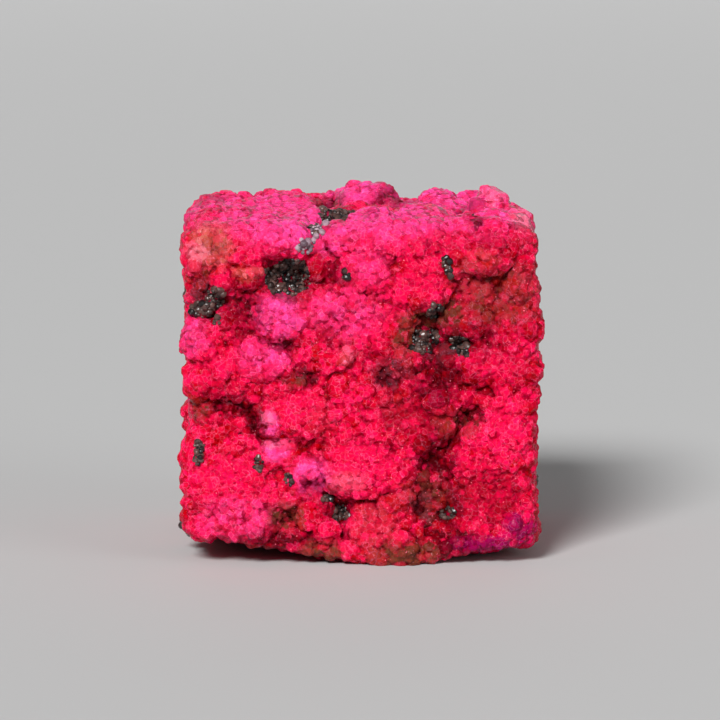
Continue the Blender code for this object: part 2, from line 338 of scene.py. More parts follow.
def on_top(across, back, half_width, half_depth, rise, sink=LUMP_SINK):
    """A top lump in the same way, placed by its distance back from the front edge."""
    reach = (sunk(half_width, sink, rise), sunk(half_depth, sink, rise), sink + rise)
    return (across, back - HALF_DEPTH, HEIGHT - sink), reach


def in_front(across, up, half_width, half_height, depth):
    """A front hollow's middle, just outside the block, and its reach each way."""
    depth = depth * DEPTH_SHARE if depth < SHALLOW else depth
    return (across, -HOLLOW_STAND - HALF_DEPTH, up), (half_width, depth + HOLLOW_STAND, half_height)


def in_top(across, back, half_width, half_depth, depth):
    """A top hollow in the same way."""
    return (across, back - HALF_DEPTH, HEIGHT + HOLLOW_STAND), (half_width, half_depth, depth + HOLLOW_STAND)


def lump_field(offsets, reach, tilt=0.0):
    """A lump's own field: an egg shape with slightly squared shoulders."""
    x, y, z = np.ix_(*offsets)
    y = (y - tilt * z) / reach[1]
    x, y, z = np.abs(x / reach[0]), np.abs(y), np.abs(z / reach[2])
    share = (x**LUMP_SQUARENESS + y**LUMP_SQUARENESS + z**LUMP_SQUARENESS) ** (1 / LUMP_SQUARENESS)
    return (1.0 - share) * min(reach)


def add_lump(grid, middle, reach, tilt=0.0):
    part, offsets = window(grid, middle, np.array(reach) * ROOM)
    grid["field"][part] = np.maximum(grid["field"][part], lump_field(offsets, reach, tilt))


def cut_hollow(grid, middle, reach):
    part, offsets = window(grid, middle, np.array(reach) * ROOM)
    grid["field"][part] = np.minimum(grid["field"][part], -lump_field(offsets, reach))


# %% [markdown]
# ## The sides that are less looked at
#
# The back, the left and the right get lumps and hollows of the same kind, but by chance.
# The seed is fixed, so the stone comes out the same every time.

# %% Scattered lumps and hollows
SCATTER_SEED = 29
LUMPS_PER_SIDE = 14
LUMP_REACH = (2.2, 4.6)
LUMP_RISE = (0.2, 0.8)
HOLLOWS_PER_SIDE = 9
HOLLOW_REACH = (1.6, 2.8)
HOLLOW_DEPTH = (0.6, 1.5)
# Back, left and right: the axis that points out, and which way.
PLAIN_SIDES = [(1, 1), (0, -1), (0, 1)]


def scattered(chance, axis, sign, count, reach_range, amount_range):
    """Patches anywhere on one side, as a middle on the skin, half sizes and an amount."""
    for _ in range(count):
        amount = chance.uniform(*amount_range)
        half = np.array([chance.uniform(*reach_range) for _ in range(3)])
        middle = MIDDLE + [chance.uniform(-1, 1) * room for room in HALF_SIZE - half]
        middle[axis] = MIDDLE[axis] + sign * HALF_SIZE[axis]
        yield middle, half, amount


# %% Blur
def box_blur(values, reach, passes):
    """The mean of the values in a box round each point, taken again and again."""
    for axis in (0, 1, 2) * passes:
        total = np.cumsum(values, axis=axis, dtype=np.float64)
        steps = np.arange(values.shape[axis])
        ahead = np.take(total, np.minimum(steps + reach, steps[-1]), axis)
        behind = np.take(total, np.maximum(steps - reach - 1, 0), axis)
        values = ((ahead - behind) / (2 * reach + 1)).astype(np.float32)
    return values


# %% [markdown]
# ## The stone without its crystals
#
# The order matters. Hollows are cut first, so that a lump beside a hollow keeps its full
# rim. A light blur then softens the creases, and the underside is cut last, so that nothing
# hangs below the plane it stands on.

# %% Shape the stone
CREASE_SOFTNESS = 0.35


def shape_stone(grid):
    """The block with its hollows cut, then its lumps joined on, then its underside cut."""
    plain_block(grid)
    chance = random.Random(SCATTER_SEED)
    lumps = [on_top(*sizes) for sizes in TOP_LUMPS.values()]
    hollows = [in_front(*sizes) for sizes in FRONT_HOLLOWS.values()]
    hollows += [in_top(*sizes) for sizes in TOP_HOLLOWS.values()]
    for axis, sign in PLAIN_SIDES:
        side = (chance, axis, sign)
        for middle, half, rise in scattered(*side, LUMPS_PER_SIDE, LUMP_REACH, LUMP_RISE):
            middle[axis] -= sign * LUMP_SINK
            reach = sunk(half, LUMP_SINK, rise)
            reach[axis] = LUMP_SINK + rise
            lumps.append((middle, reach))
        for middle, half, depth in scattered(*side, HOLLOWS_PER_SIDE, HOLLOW_REACH, HOLLOW_DEPTH):
            half[axis] = depth
            hollows.append((middle, half))
    for hollow in hollows:
        cut_hollow(grid, *hollow)
    for lump in lumps:
        add_lump(grid, *lump)
    for sizes in FRONT_LUMPS.values():
        add_lump(grid, *on_front(*sizes), LUMP_TILT)
    grid["field"] = box_blur(grid["field"], max(1, round(CREASE_SOFTNESS / grid["step"])), 2)
    cut_underside(grid)


# %% [markdown]
# ## From field to skin
#
# Each grid cell that the skin passes through gets one point, at the average of the places
# where the field crosses zero along the cell's edges. Wherever a grid line crosses the
# skin, the four cells round it are joined by a four-sided face.

# %% Skin of a field
CORNERS = np.array(list(itertools.product((0, 1), repeat=3)))
EDGES = [
    (a, b) for a, b in itertools.combinations(range(8), 2)
    if np.abs(CORNERS[a] - CORNERS[b]).sum() == 1
]


def shifted(values, corner):
    """The values at one corner of every cell."""
    return values[tuple(slice(step, step - 1 or None) for step in corner)]


def points_of(grid, cells):
    """One point in each of these cells, at the average of the edges' zero crossings."""
    values = np.stack([grid["field"][tuple((cells + corner).T)] for corner in CORNERS], axis=1)
    total = np.zeros((len(cells), 3))
    crossings = np.zeros(len(cells))
    for a, b in EDGES:
        cut = (values[:, a] > 0) != (values[:, b] > 0)
        share = values[cut, a] / (values[cut, a] - values[cut, b])
        total[cut] += CORNERS[a] + share[:, None] * (CORNERS[b] - CORNERS[a])
        crossings[cut] += 1
    return grid["low"] + grid["step"] * (cells + total / crossings[:, None])


def faces_across(inside, number, axis):
    """A four-sided face round every grid line along this axis that leaves or enters."""
    ahead = np.take(inside, range(1, inside.shape[axis]), axis)
    here = np.take(inside, range(0, inside.shape[axis] - 1), axis)
    lines = np.argwhere(ahead != here)
    sides = [other for other in range(3) if other != axis]
    room = np.array(number.shape)[sides]
    lines = lines[(lines[:, sides] > 0).all(axis=1) & (lines[:, sides] < room).all(axis=1)]
    first, second = np.eye(3, dtype=int)[(axis + 1) % 3], np.eye(3, dtype=int)[(axis + 2) % 3]
    ring = [lines - first - second, lines - second, lines, lines - first]
    quads = np.stack([number[tuple(cell.T)] for cell in ring], axis=1)
    leaving = here[tuple(lines.T)]
    quads[~leaving] = quads[~leaving][:, ::-1]
    return quads


def skin_of(grid):
    """The points and the four-sided faces of the field's zero surface."""
    inside = grid["field"] > 0
    count = sum(shifted(inside, corner).astype(np.uint8) for corner in CORNERS)
    cells = np.argwhere((count > 0) & (count < 8))
    number = np.full(count.shape, -1, np.int32)
    number[tuple(cells.T)] = np.arange(len(cells))
    faces = np.concatenate([faces_across(inside, number, axis) for axis in range(3)])
    return points_of(grid, cells), faces


def largest_part(faces, count):
    """The faces of the largest surface, without any bubbles."""
    label = np.arange(count)
    while True:
        least = label[faces].min(axis=1)
        lower = label.copy()
        np.minimum.at(lower, faces.ravel(), np.repeat(least, 4))
        lower = lower[lower]
        if (lower == label).all():
            break
        label = lower
    return faces[label[faces[:, 0]] == np.bincount(label).argmax()]


# %% [markdown]
# ## Reading the field
#
# Two questions come up again and again: what does the grid say at this place, and which way
# is out? The way out is the direction in which the field falls fastest.

# %% Read the field
def at(values, grid, points):
    """The grid's values at the grid points nearest to these."""
    index = np.rint((points - grid["low"]) / grid["step"]).astype(int)
    index = np.clip(index, 0, np.array(values.shape) - 1)
    return values[tuple(index.T)]


def ways_out(grid, points, step):
    """The directions in which the field falls fastest at these points."""
    slope = [
        at(grid["field"], grid, points - step * way) - at(grid["field"], grid, points + step * way)
        for way in np.eye(3)
    ]
    slope = np.stack(slope, axis=1)
    return slope / np.maximum(np.linalg.norm(slope, axis=1, keepdims=True), 1e-6)


# %% [markdown]
# ## Crystals
#
# Every crystal is a cube with its corners cut off, turned at random and blended with a
# ball, since real grains have worn edges. Its field is the distance to the nearest of its
# 14 faces, so no mesh is needed for it. Each face lies nearer or farther by chance.

# %% Crystal shape
CUT_CUBE = [
    np.array(way) / math.sqrt(sum(map(abs, way)))
    for way in itertools.product((-1, 0, 1), repeat=3)
    if sum(map(abs, way)) in (1, 3)
]
FACETS = np.array(CUT_CUBE, np.float32)
FACET_REACH = (0.78, 1.05)


def random_turns(chance, count):
    """Rotations that point every way equally often."""
    quarter = chance.normal(size=(count, 4))
    w, x, y, z = (quarter / np.linalg.norm(quarter, axis=1, keepdims=True)).T
    rows = [
        [1 - 2 * (y * y + z * z), 2 * (x * y - z * w), 2 * (x * z + y * w)],
        [2 * (x * y + z * w), 1 - 2 * (x * x + z * z), 2 * (y * z - x * w)],
        [2 * (x * z - y * w), 2 * (y * z + x * w), 1 - 2 * (x * x + y * y)],
    ]
    return np.moveaxis(np.array(rows, np.float32), -1, 0)


# %% [markdown]
# ## Spreading them out
#
# Crystals crowd each other but never share a seat. Points are thinned by sorting them into
# cells a little smaller than the gap, keeping one in each, and then dropping the weaker of
# any two neighbours that are still too close.

# %% Spread
CELL_SHARE = 0.8
NEAREST_SHARE = 0.72


def spread(points, gap, chance):
    """Numbers of points picked at random so that any two are about a gap apart or more."""
    order = chance.permutation(len(points))
    cell = np.floor(points[order] / (CELL_SHARE * gap)).astype(int)
    cell -= cell.min(axis=0) - 1
    _, first = np.unique(cell, axis=0, return_index=True)
    picked = order[first]
    cell = cell[first]
    number = np.full(cell.max(axis=0) + 2, -1, np.int32)
    number[tuple(cell.T)] = np.arange(len(picked))
    rank = chance.random(len(picked))
    kept = np.ones(len(picked), bool)
    for step in itertools.product((-1, 0, 1), repeat=3):
        if any(step):
            other = number[tuple((cell + step).T)]
            apart = np.linalg.norm(points[picked] - points[picked[other]], axis=1)
            kept &= ~((other >= 0) & (apart < NEAREST_SHARE * gap) & (rank[other] > rank))
    return picked[kept]


# %% Grow and join crystals
def grow(places, outward, radius_range, stand_range, roundness_range, chance):
    """Crystals at these places, each standing out by a share of its radius."""
    count = len(places)
    radius = chance.uniform(*radius_range, size=count)
    stand = chance.uniform(*stand_range, size=count) * radius
    return {
        "place": places,
        "outward": outward,
        "middle": places + outward * (stand - radius)[:, None],
        "radius": radius,
        "turn": random_turns(chance, count),
        "reach": chance.uniform(*FACET_REACH, size=(count, len(FACETS))).astype(np.float32),
        "roundness": chance.uniform(*roundness_range, size=count),
        "shade": chance.random(count),
    }


def add_crystals(grid, crystals, first):
    """Joins crystals on to the field, and numbers the points that each one owns."""
    field, owner = grid["field"], grid["owner"]
    for index in range(len(crystals["radius"])):
        radius = crystals["radius"][index]
        part, offsets = window(grid, crystals["middle"][index], [radius * 1.15] * 3)
        if all(len(offset) for offset in offsets):
            away = np.stack(np.meshgrid(*offsets, indexing="ij"), axis=-1)
            ball = radius - np.sqrt((away * away).sum(axis=-1))
            normals = crystals["turn"][index] @ FACETS.T
            planes = (radius * crystals["reach"][index] - away @ normals).min(axis=-1)
            roundness = crystals["roundness"][index]
            value = roundness * ball + (1 - roundness) * planes
            wins = value > field[part]
            field[part][wins] = value[wins]
            owner[part][wins] = first + index


# %% [markdown]
# ## Helpers for growing
#
# Three measures steer the growth: a smooth step between two values, how deep in a hollow a
# place sits, and a slow wandering value that makes one stretch of the stone unlike the next.

# %% Grid steps and the box
SEED = 7
REST_STEP = 0.24
TOP_STEP = 0.18
FRONT_STEP = 0.14
MARGIN = 3.2
STONE_LOW = MIDDLE - HALF_SIZE - MARGIN
STONE_HIGH = MIDDLE + HALF_SIZE + MARGIN + 0.8
chance = np.random.default_rng(SEED)
print("grid steps, mm:", FRONT_STEP, "front,", TOP_STEP, "top,", REST_STEP, "rest")


# %% Measures
WANDER_WAVES = 6


def smooth_step(low, high, value):
    """0 below low, 1 above high, and a smooth climb between them."""
    share = np.clip((value - low) / (high - low), 0.0, 1.0)
    return share * share * (3.0 - 2.0 * share)


def hollow_share(grid, points, reach):
    """The share of stone in a box round each point: a half on flat ground, more in a hollow."""
    stone_share = np.clip(grid["field"] / grid["step"] + 0.5, 0, 1)
    return at(box_blur(stone_share, max(1, round(reach / grid["step"])), 2), grid, points)


def waves(points, span, seed):
    """A smooth wandering value from 0 to 1, with hills about a span apart."""
    wander = random.Random(seed)
    total = np.zeros(len(points))
    for _ in range(WANDER_WAVES):
        way = Vector([wander.gauss(0, 1) for _ in range(3)]).normalized() * (math.tau / span)
        total += np.sin(points @ np.array(way) * wander.uniform(0.7, 1.4) + wander.uniform(0, math.tau))
    return smooth_step(-1.6, 1.6, total)


# %% [markdown]
# ## Clusters
#
# The stone first grows on the coarse grid alone. The largest bunches of crystals come
# first: big, barely standing out, a couple of millimetres apart.

# %% Clusters
stone = make_grid(STONE_LOW, STONE_HIGH, REST_STEP)
shape_stone(stone)
note("shaped the stone")
points, _ = skin_of(stone)
picked = points[spread(points, 2.1, chance)]
clusters = grow(picked, ways_out(stone, picked, 0.6), (1.0, 2.0), (0.05, 0.25), (0.1, 0.6), chance)
add_crystals(stone, clusters, 0)
lobe_first = len(picked)
note(lobe_first, "clusters")

# %% [markdown]
# ## Smooth and beaded stretches
#
# On some domes of the real stone the crystals have fused into an almost smooth, glowing
# skin. Elsewhere they stand out like beads. The smooth domes are named, and a slow
# wandering value smooths a few more stretches.

# %% Smooth patches
SMOOTH_PATCHES = {
    "right_dome": (15.0, 14.6, 3.0, 3.0),
    "lower_middle_dome": (0.2, 11.0, 3.8, 2.8),
    "middle_left_dome": (-7.0, 17.4, 2.4, 1.8),
    "right_slab": (14.6, 22.0, 2.4, 1.6),
    "ledge_right": (-10.0, 34.4, 3.0, 1.4),
    "red_brow": (5.0, 34.6, 5.0, 1.6),
    "left_slab_middle": (-15.6, 22.6, 2.2, 1.2),
    "upper_middle_dome": (0.6, 32.0, 1.8, 1.8),
    "lower_right_slab": (14.2, 7.0, 3.2, 3.0),
    "crimson_flat": (4.6, 15.8, 3.4, 1.8),
    "upper_right_dome": (6.2, 31.6, 2.2, 2.2),
    "lower_left_slab": (-14.6, 9.4, 3.4, 3.0),
    "middle_ridge": (0.6, 26.4, 2.4, 1.6),
    "foot_lump": (1.2, 4.2, 1.8, 2.2),
}
PATCH_DEPTH = 4.0


def smoothness(places):
    """How fused and low the crystals are at these places, from 0 to 1."""
    share = 0.8 * waves(places, 9.0, 3) ** 1.5
    for across, up, half_width, half_height in SMOOTH_PATCHES.values():
        away = (places - [across, -HALF_DEPTH, up]) / [half_width, PATCH_DEPTH, half_height]
        share = np.maximum(share, 1.0 - smooth_step(0.8, 1.2, np.linalg.norm(away, axis=1)))
    return share


# %% [markdown]
# ## Lobes
#
# The crystals that the eye picks out are about a millimetre across. In hollows they are
# smaller, rounder and stand out more. On smooth patches they are sunk until they fuse.

# %% Lobes
points, _ = skin_of(stone)
picked = points[spread(points, 0.95, chance)]
outward = ways_out(stone, picked, 0.45)
depth = smooth_step(0.53, 0.62, hollow_share(stone, picked, 1.2))
smooth = smoothness(picked) * (1.0 - depth)
lobes = grow(picked, outward, (0.45, 1.1), (0.4, 0.68), (0.0, 0.22), chance)
lobes["radius"] *= 1.0 - 0.35 * depth
lift = 0.35 * depth - 0.48 * smooth
lobes["middle"] += outward * (lift * lobes["radius"])[:, None]
lobes["roundness"] = np.maximum(lobes["roundness"], 0.7 * depth)
lobes["shade"] += 0.7 * smooth * (0.75 - lobes["shade"])
add_crystals(stone, lobes, lobe_first)
filler_first = lobe_first + len(picked)

# %% [markdown]
# ## Smaller crystals in the gaps
#
# Wherever the clusters still show between the lobes, smaller crystals fill in.

# %% Fillers
between, _ = skin_of(stone)
between = between[at(stone["owner"], stone, between) < lobe_first]
picked = between[spread(between, 0.6, chance)]
fillers = grow(picked, ways_out(stone, picked, 0.3), (0.3, 0.65), (0.3, 0.7), (0.0, 0.3), chance)
add_crystals(stone, fillers, filler_first)
large_first = filler_first + len(picked)

# %% [markdown]
# ## Large crystals
#
# A few crystals are big enough to be known by sight, such as the peaked one at the back
# right of the top. Each is grown at the skin point nearest to where it should be.

# %% Large crystals
# Across, up, radius, share of the radius that stands out, roundness.
LARGE_CRYSTALS = {
    "pale_crystal": (-2.0, 22.6, 0.8, 0.6, 0.0),
    "pale_crystal_top": (-1.6, 23.6, 0.7, 0.7, 0.1),
    "edge_crystal": (-2.4, 36.6, 1.1, 0.5, 0.1),
    "edge_crystal_side": (-1.0, 36.0, 0.8, 0.5, 0.2),
    "bead_by_pocket": (-14.8, 31.0, 0.9, 0.6, 0.4),
    "bead_by_edge": (-18.2, 32.6, 0.9, 0.7, 0.8),
    "lavender_crystal": (2.2, 18.2, 0.8, 0.8, 0.5),
    "plum_bead": (8.0, 18.2, 1.05, 0.8, 0.9),
    "knob": (6.2, 13.2, 1.1, 0.7, 0.4),
    "toe_bead": (16.6, 4.6, 1.1, 0.6, 0.8),
    "foot_bead": (-4.0, 3.8, 1.0, 0.7, 0.6),
    "ridge_crystal": (-12.4, 23.6, 1.1, 0.6, 0.4),
    "pale_bead": (-12.6, 31.8, 0.7, 0.7, 0.5),
    "lobe_bead": (-9.6, 28.4, 0.9, 0.6, 0.9),
    "slab_crystal": (12.8, 22.6, 1.1, 0.5, 0.4),
    "rosy_crystal": (4.2, 23.2, 1.0, 0.6, 0.4),
}
# Across, back from the front edge, and the same three sizes.
LARGE_TOP_CRYSTALS = {
    "peaked_crystal": (14.8, 21.4, 2.0, 0.75, 0.0),
    "peaked_crystal_foot": (12.9, 20.0, 1.3, 0.5, 0.1),
    "dark_crystal": (3.6, 29.4, 1.5, 0.5, 0.1),
    "dark_crystal_foot": (5.0, 27.6, 1.0, 0.5, 0.2),
    "front_crystal": (-2.6, 3.0, 1.2, 0.5, 0.0),
    "lobe_crystal": (0.4, 4.0, 1.1, 0.5, 0.1),
    "lobe_crystal_back": (2.0, 9.0, 1.2, 0.5, 0.1),
    "left_crystal": (-10.6, 4.4, 1.2, 0.4, 0.2),
    "left_middle_crystal": (-7.4, 8.0, 1.1, 0.5, 0.1),
    "right_crystal": (8.6, 12.0, 1.3, 0.5, 0.1),
    "right_edge_crystal": (17.6, 9.0, 1.4, 0.5, 0.1),
    "terrace_crystal": (14.6, 8.0, 1.2, 0.5, 0.2),
}
# How much the way out counts when the nearest skin point is looked for.
WEIGHT_OUT = 0.2


def nearest_point(points, target, weight):
    """The skin point nearest to the target, with some directions counting less."""
    return points[np.abs((points - target) * weight).sum(axis=1).argmin()]


# %% Grow the large crystals
picked = []
for across, up, *_ in LARGE_CRYSTALS.values():
    picked.append(nearest_point(points, (across, -HALF_DEPTH, up), (1, WEIGHT_OUT, 1)))
for across, back, *_ in LARGE_TOP_CRYSTALS.values():
    place = (across, back - HALF_DEPTH, HEIGHT + 1.0)
    picked.append(nearest_point(points, place, (1, 1, WEIGHT_OUT)))
picked = np.array(picked)
sizes = [values[2:] for values in (*LARGE_CRYSTALS.values(), *LARGE_TOP_CRYSTALS.values())]
radius, stand, roundness = np.array(sizes).T
large = grow(picked, ways_out(stone, picked, 0.6), (1.0, 1.0), (0.0, 0.0), (0.0, 1.0), chance)
large["radius"] = radius
large["roundness"] = roundness
large["middle"] = picked + large["outward"] * ((stand - 1.0) * radius)[:, None]
add_crystals(stone, large, large_first)
note(large_first - lobe_first, "lobes and fillers,", len(picked), "large crystals")

# %% [markdown]
# ## Sugar
#
# The finest crystals sit on the others like sugar. They leave the hollows, the smooth
# patches and some whole stretches bare.

# %% Sugar
points, _ = skin_of(stone)
picked = points[spread(points, 0.5, chance)]
parent = at(stone["owner"], stone, picked)
parent_depth = smooth_step(0.5, 0.6, hollow_share(stone, picked, 1.2))
bare = np.maximum(0.85 * parent_depth, smooth_step(0.2, 0.5, waves(picked, 6.0, 11)))
bare = np.maximum(bare, smoothness(picked))
bare = np.where(parent >= large_first, 0.8, bare)
kept = chance.random(len(picked)) > bare
picked = picked[kept]
on_block = parent[kept] < 0
parent = np.maximum(parent[kept], 0)
sugar = grow(picked, ways_out(stone, picked, 0.3), (0.22, 0.4), (0.15, 0.45), (0.0, 0.2), chance)
sugar_first = large_first + len(large["radius"])
add_crystals(stone, sugar, sugar_first)
note(len(picked), "grains of sugar")

# %% [markdown]
# ## Facts about each crystal
#
# Every crystal gets a shade and a home. A grain of sugar takes most of its shade, and its
# home, from the crystal that it sits on, so that it doesn't look like dust.

# %% Facts about each crystal
place = np.concatenate([kind["place"] for kind in (clusters, lobes, fillers, large)])
shade = np.concatenate([kind["shade"] for kind in (clusters, lobes, fillers, large)])
shade = np.concatenate([shade, 0.7 * shade[parent] + 0.3 * sugar["shade"]])
home = np.where(on_block[:, None], sugar["place"], place[parent])
home = np.concatenate([place, home])
place = np.concatenate([place, sugar["place"]])


# %% [markdown]
# ## Three grids
#
# The crystals are now known, so they can be grown again on finer grids: the finest for the
# front, a fine one for the top, and the coarse one for what is seldom seen. One fine grid
# for the whole stone would need several times the memory and the triangles.

# %% Finer grids
FRONT_GRID_DEPTH = 6.5
TOP_GRID_DEPTH = 5.5


def finer(low, high, step):
    """The same stone on a finer grid that covers only part of it."""
    grid = make_grid(low, high, step)
    shape_stone(grid)
    add_crystals(grid, clusters, 0)
    add_crystals(grid, lobes, lobe_first)
    add_crystals(grid, fillers, filler_first)
    add_crystals(grid, large, large_first)
    add_crystals(grid, sugar, sugar_first)
    return grid


front_high = STONE_HIGH.copy()
front_high[1] = -HALF_DEPTH + FRONT_GRID_DEPTH
top_low = STONE_LOW.copy()
top_low[2] = HEIGHT - TOP_GRID_DEPTH
grids = {"front": finer(STONE_LOW, front_high, FRONT_STEP)}
note("front grid", grids["front"]["field"].shape)
grids["top"] = finer(top_low, STONE_HIGH, TOP_STEP)
grids["rest"] = stone
note("top grid", grids["top"]["field"].shape)

# %% [markdown]
# ## Zones of colour
#
# The stone is not one red. Pink, wine, rust and grey lie on it in patches, and black
# grains fill the pockets. Each patch is an oval zone with a name, a size and a strength. A
# painted texture could do this too, but named zones can be read, moved and rescaled.

# %% Tints on the front
# Each tint's zones: across, up, half width, half height, strength.
FRONT_TINTS = {
    "pink": {
        "upper_left_lobe": (-9.2, 27.5, 2.4, 2.4, 1.0),
        "left_ridge": (-10.8, 22.9, 2.8, 1.9, 0.6),
        "violet_saddle": (-9.5, 12.6, 1.5, 1.1, 0.9),
        "lavender": (-5.6, 9.6, 2.2, 1.9, 0.8),
        "upper_middle_dome": (0.6, 33.0, 2.6, 2.2, 0.35),
        # The top edge's pink is partly painted light, as on the top itself.
        "top_edge": (-1.0, 37.6, 19.0, 1.6, 0.6),
        "middle_ridge": (-2.0, 27.6, 4.0, 2.8, 0.4),
        "lower_left_foot": (-13.4, 5.2, 4.4, 2.2, 0.4),
        "left_edge": (-18.4, 25.0, 1.4, 2.0, 0.6),
        "left_lip": (-10.2, 15.6, 1.0, 1.2, 0.9),
        "ledge": (-8.6, 36.4, 4.0, 1.6, 0.8),
        "edge_crystals": (-3.4, 35.8, 2.0, 2.0, 0.7),
    },
    "crimson": {
        "lower_right": (14.0, 7.4, 3.6, 3.0, 0.9),
        "middle_flat": (5.2, 15.8, 3.2, 1.9, 0.9),
        "dark_red_shelf": (12.0, 27.0, 3.4, 1.6, 0.6),
        "right_cheek": (17.2, 26.2, 1.8, 2.0, 0.5),
        "dark_red_lump": (-4.0, 25.0, 1.4, 1.2, 0.6),
        "top_right_slab": (14.4, 34.0, 4.6, 2.4, 0.5),
        "brow": (8.0, 35.0, 3.0, 1.2, 0.4),
        "left_beads": (-15.8, 19.4, 2.6, 1.6, 0.6),
        "hollow_by_pocket": (-4.6, 32.4, 1.2, 1.8, 0.6),
        "middle_shelf": (1.0, 22.6, 2.6, 1.6, 0.4),
        "right_slab": (14.4, 22.0, 3.4, 2.4, 0.35),
        "upper_right_dome": (6.2, 31.6, 2.6, 2.4, 0.2),
        "right_slab_edge": (17.6, 20.6, 1.6, 2.6, 0.4),
        "under_right_slab": (12.6, 19.2, 3.4, 1.2, 0.5),
    },
    # Wine: partly dark stain, partly painted shade in crevices and hollows, under lumps and along the foot.
    "wine": {
        "dark_red_hollow": (-13.0, 28.2, 2.6, 2.6, 0.65),
        "plum_patch": (7.8, 20.8, 3.2, 2.8, 0.85),
        "plum_by_cheek": (12.0, 25.0, 3.2, 1.8, 0.55),
        "slanting_crevice": (8.0, 10.6, 2.4, 4.8, 0.85),
        "slanting_crevice_top": (11.4, 16.2, 2.2, 1.0, 0.95),
        "crevice_foot": (8.4, 6.2, 3.0, 2.0, 0.9),
        "toe": (10.0, 2.4, 3.6, 1.5, 1.2),
        "left_crevice": (-14.6, 17.2, 3.2, 1.1, 0.9),
        "left_crevice_tip": (-11.6, 15.6, 1.3, 1.3, 0.95),
        "beads_band": (-5.8, 13.0, 2.4, 0.9, 0.1),
        "gap_under_gap": (-5.0, 8.2, 2.2, 1.2, 0.4),
        "black_corner": (-2.9, 6.4, 1.8, 1.8, 0.8),
        "dark_foot": (-9.0, 2.8, 4.4, 1.2, 0.9),
        "right_pocket": (8.6, 24.6, 3.8, 1.8, 0.9),
        "under_right_dome": (8.2, 27.8, 2.6, 1.2, 0.9),
        "left_pocket": (-16.6, 28.6, 2.0, 2.0, 0.9),
        "pocket": (-8.2, 31.4, 3.1, 2.2, 1.0),
        "under_lobe": (-8.2, 24.4, 1.8, 0.7, 0.8),
        "nest": (-6.6, 20.4, 1.8, 1.1, 0.7),
        "between_domes": (-2.6, 31.6, 1.2, 1.2, 0.6),
        "seam": (-3.4, 38.2, 1.4, 1.0, 0.8),
        "right_hole": (12.2, 38.0, 1.1, 0.8, 0.9),
    },
    # Brown: partly rust, partly painted shade in crevices and along the foot.
    "brown": {
        "tan_corner_dark": (-16.0, 34.6, 1.4, 1.4, 0.45),
        "brown_shelf": (15.4, 29.6, 4.4, 3.0, 0.65),
        "brown_shelf_left": (11.6, 31.0, 2.2, 2.2, 0.45),
        "rust_by_pocket": (6.2, 26.8, 2.4, 1.2, 0.95),
        "rust_by_pocket_low": (4.7, 25.0, 1.3, 1.8, 0.8),
        "rust_by_dome": (9.6, 27.6, 1.8, 1.6, 0.7),
        "crevice_high": (10.2, 15.4, 2.4, 1.5, 0.5),
        "olive_patch": (-8.4, 5.3, 2.0, 1.5, 1.0),
        "foot_rust": (-4.3, 1.5, 2.2, 1.2, 1.2),
        "foot_brown": (4.6, 1.1, 3.2, 1.5, 1.4),
        "crevice_tan": (-17.8, 17.2, 1.3, 1.1, 0.7),
        "nest": (-7.4, 20.2, 1.3, 0.7, 0.7),
        "crevice_foot": (7.0, 7.4, 2.2, 2.2, 0.5),
        "left_tan_edge": (-17.6, 31.4, 1.0, 1.4, 0.5),
    },
    "grey": {
        "grey_patch": (2.8, 20.8, 1.9, 1.8, 1.0),
        "nest": (-6.2, 20.8, 1.0, 0.7, 0.6),
        "pocket_floor": (-7.6, 29.4, 2.0, 0.8, 0.5),
        "left_pocket": (-17.6, 29.8, 1.2, 1.6, 0.6),
        "pocket_end": (9.0, 23.4, 2.4, 1.0, 0.6),
        "crevice_foot": (6.4, 6.4, 1.6, 1.2, 0.6),
    },
    "pale": {
        "pale_crystal": (-1.9, 23.0, 0.8, 1.2, 0.3),
        "white_corner": (-18.0, 34.2, 1.2, 1.2, 0.5),
        "left_lip": (-10.4, 16.2, 0.7, 0.6, 0.4),
        "saddle": (-9.3, 13.2, 1.4, 0.5, 0.4),
        "mid_dome": (-1.8, 9.2, 2.0, 1.2, 0.25),
    },
    "tan": {
        "tan_corner": (-16.4, 35.0, 2.2, 2.4, 0.75),
        "pale_beads": (-12.8, 31.9, 1.3, 0.8, 0.5),
        "right_brow": (12.6, 33.4, 2.0, 0.8, 0.3),
    },
    "salmon": {
        "foot_lump": (1.4, 3.8, 2.4, 3.2, 0.8),
        "rosy_patch": (4.4, 23.4, 1.4, 2.0, 0.6),
        "middle_edge": (3.4, 17.2, 1.6, 1.2, 0.6),
        "dome_beads": (-4.6, 16.0, 1.4, 1.6, 0.4),
        "foot_side": (4.4, 7.8, 1.4, 1.2, 0.5),
        "toe_side": (11.0, 7.6, 1.0, 1.2, 0.5),
    },
    "violet": {
        "corner": (17.2, 3.8, 1.9, 1.6, 0.9),
        "toe": (13.8, 2.2, 3.8, 0.9, 1.1),
    },
}
print(sum(len(zones) for zones in FRONT_TINTS.values()), "patches of colour on the front")

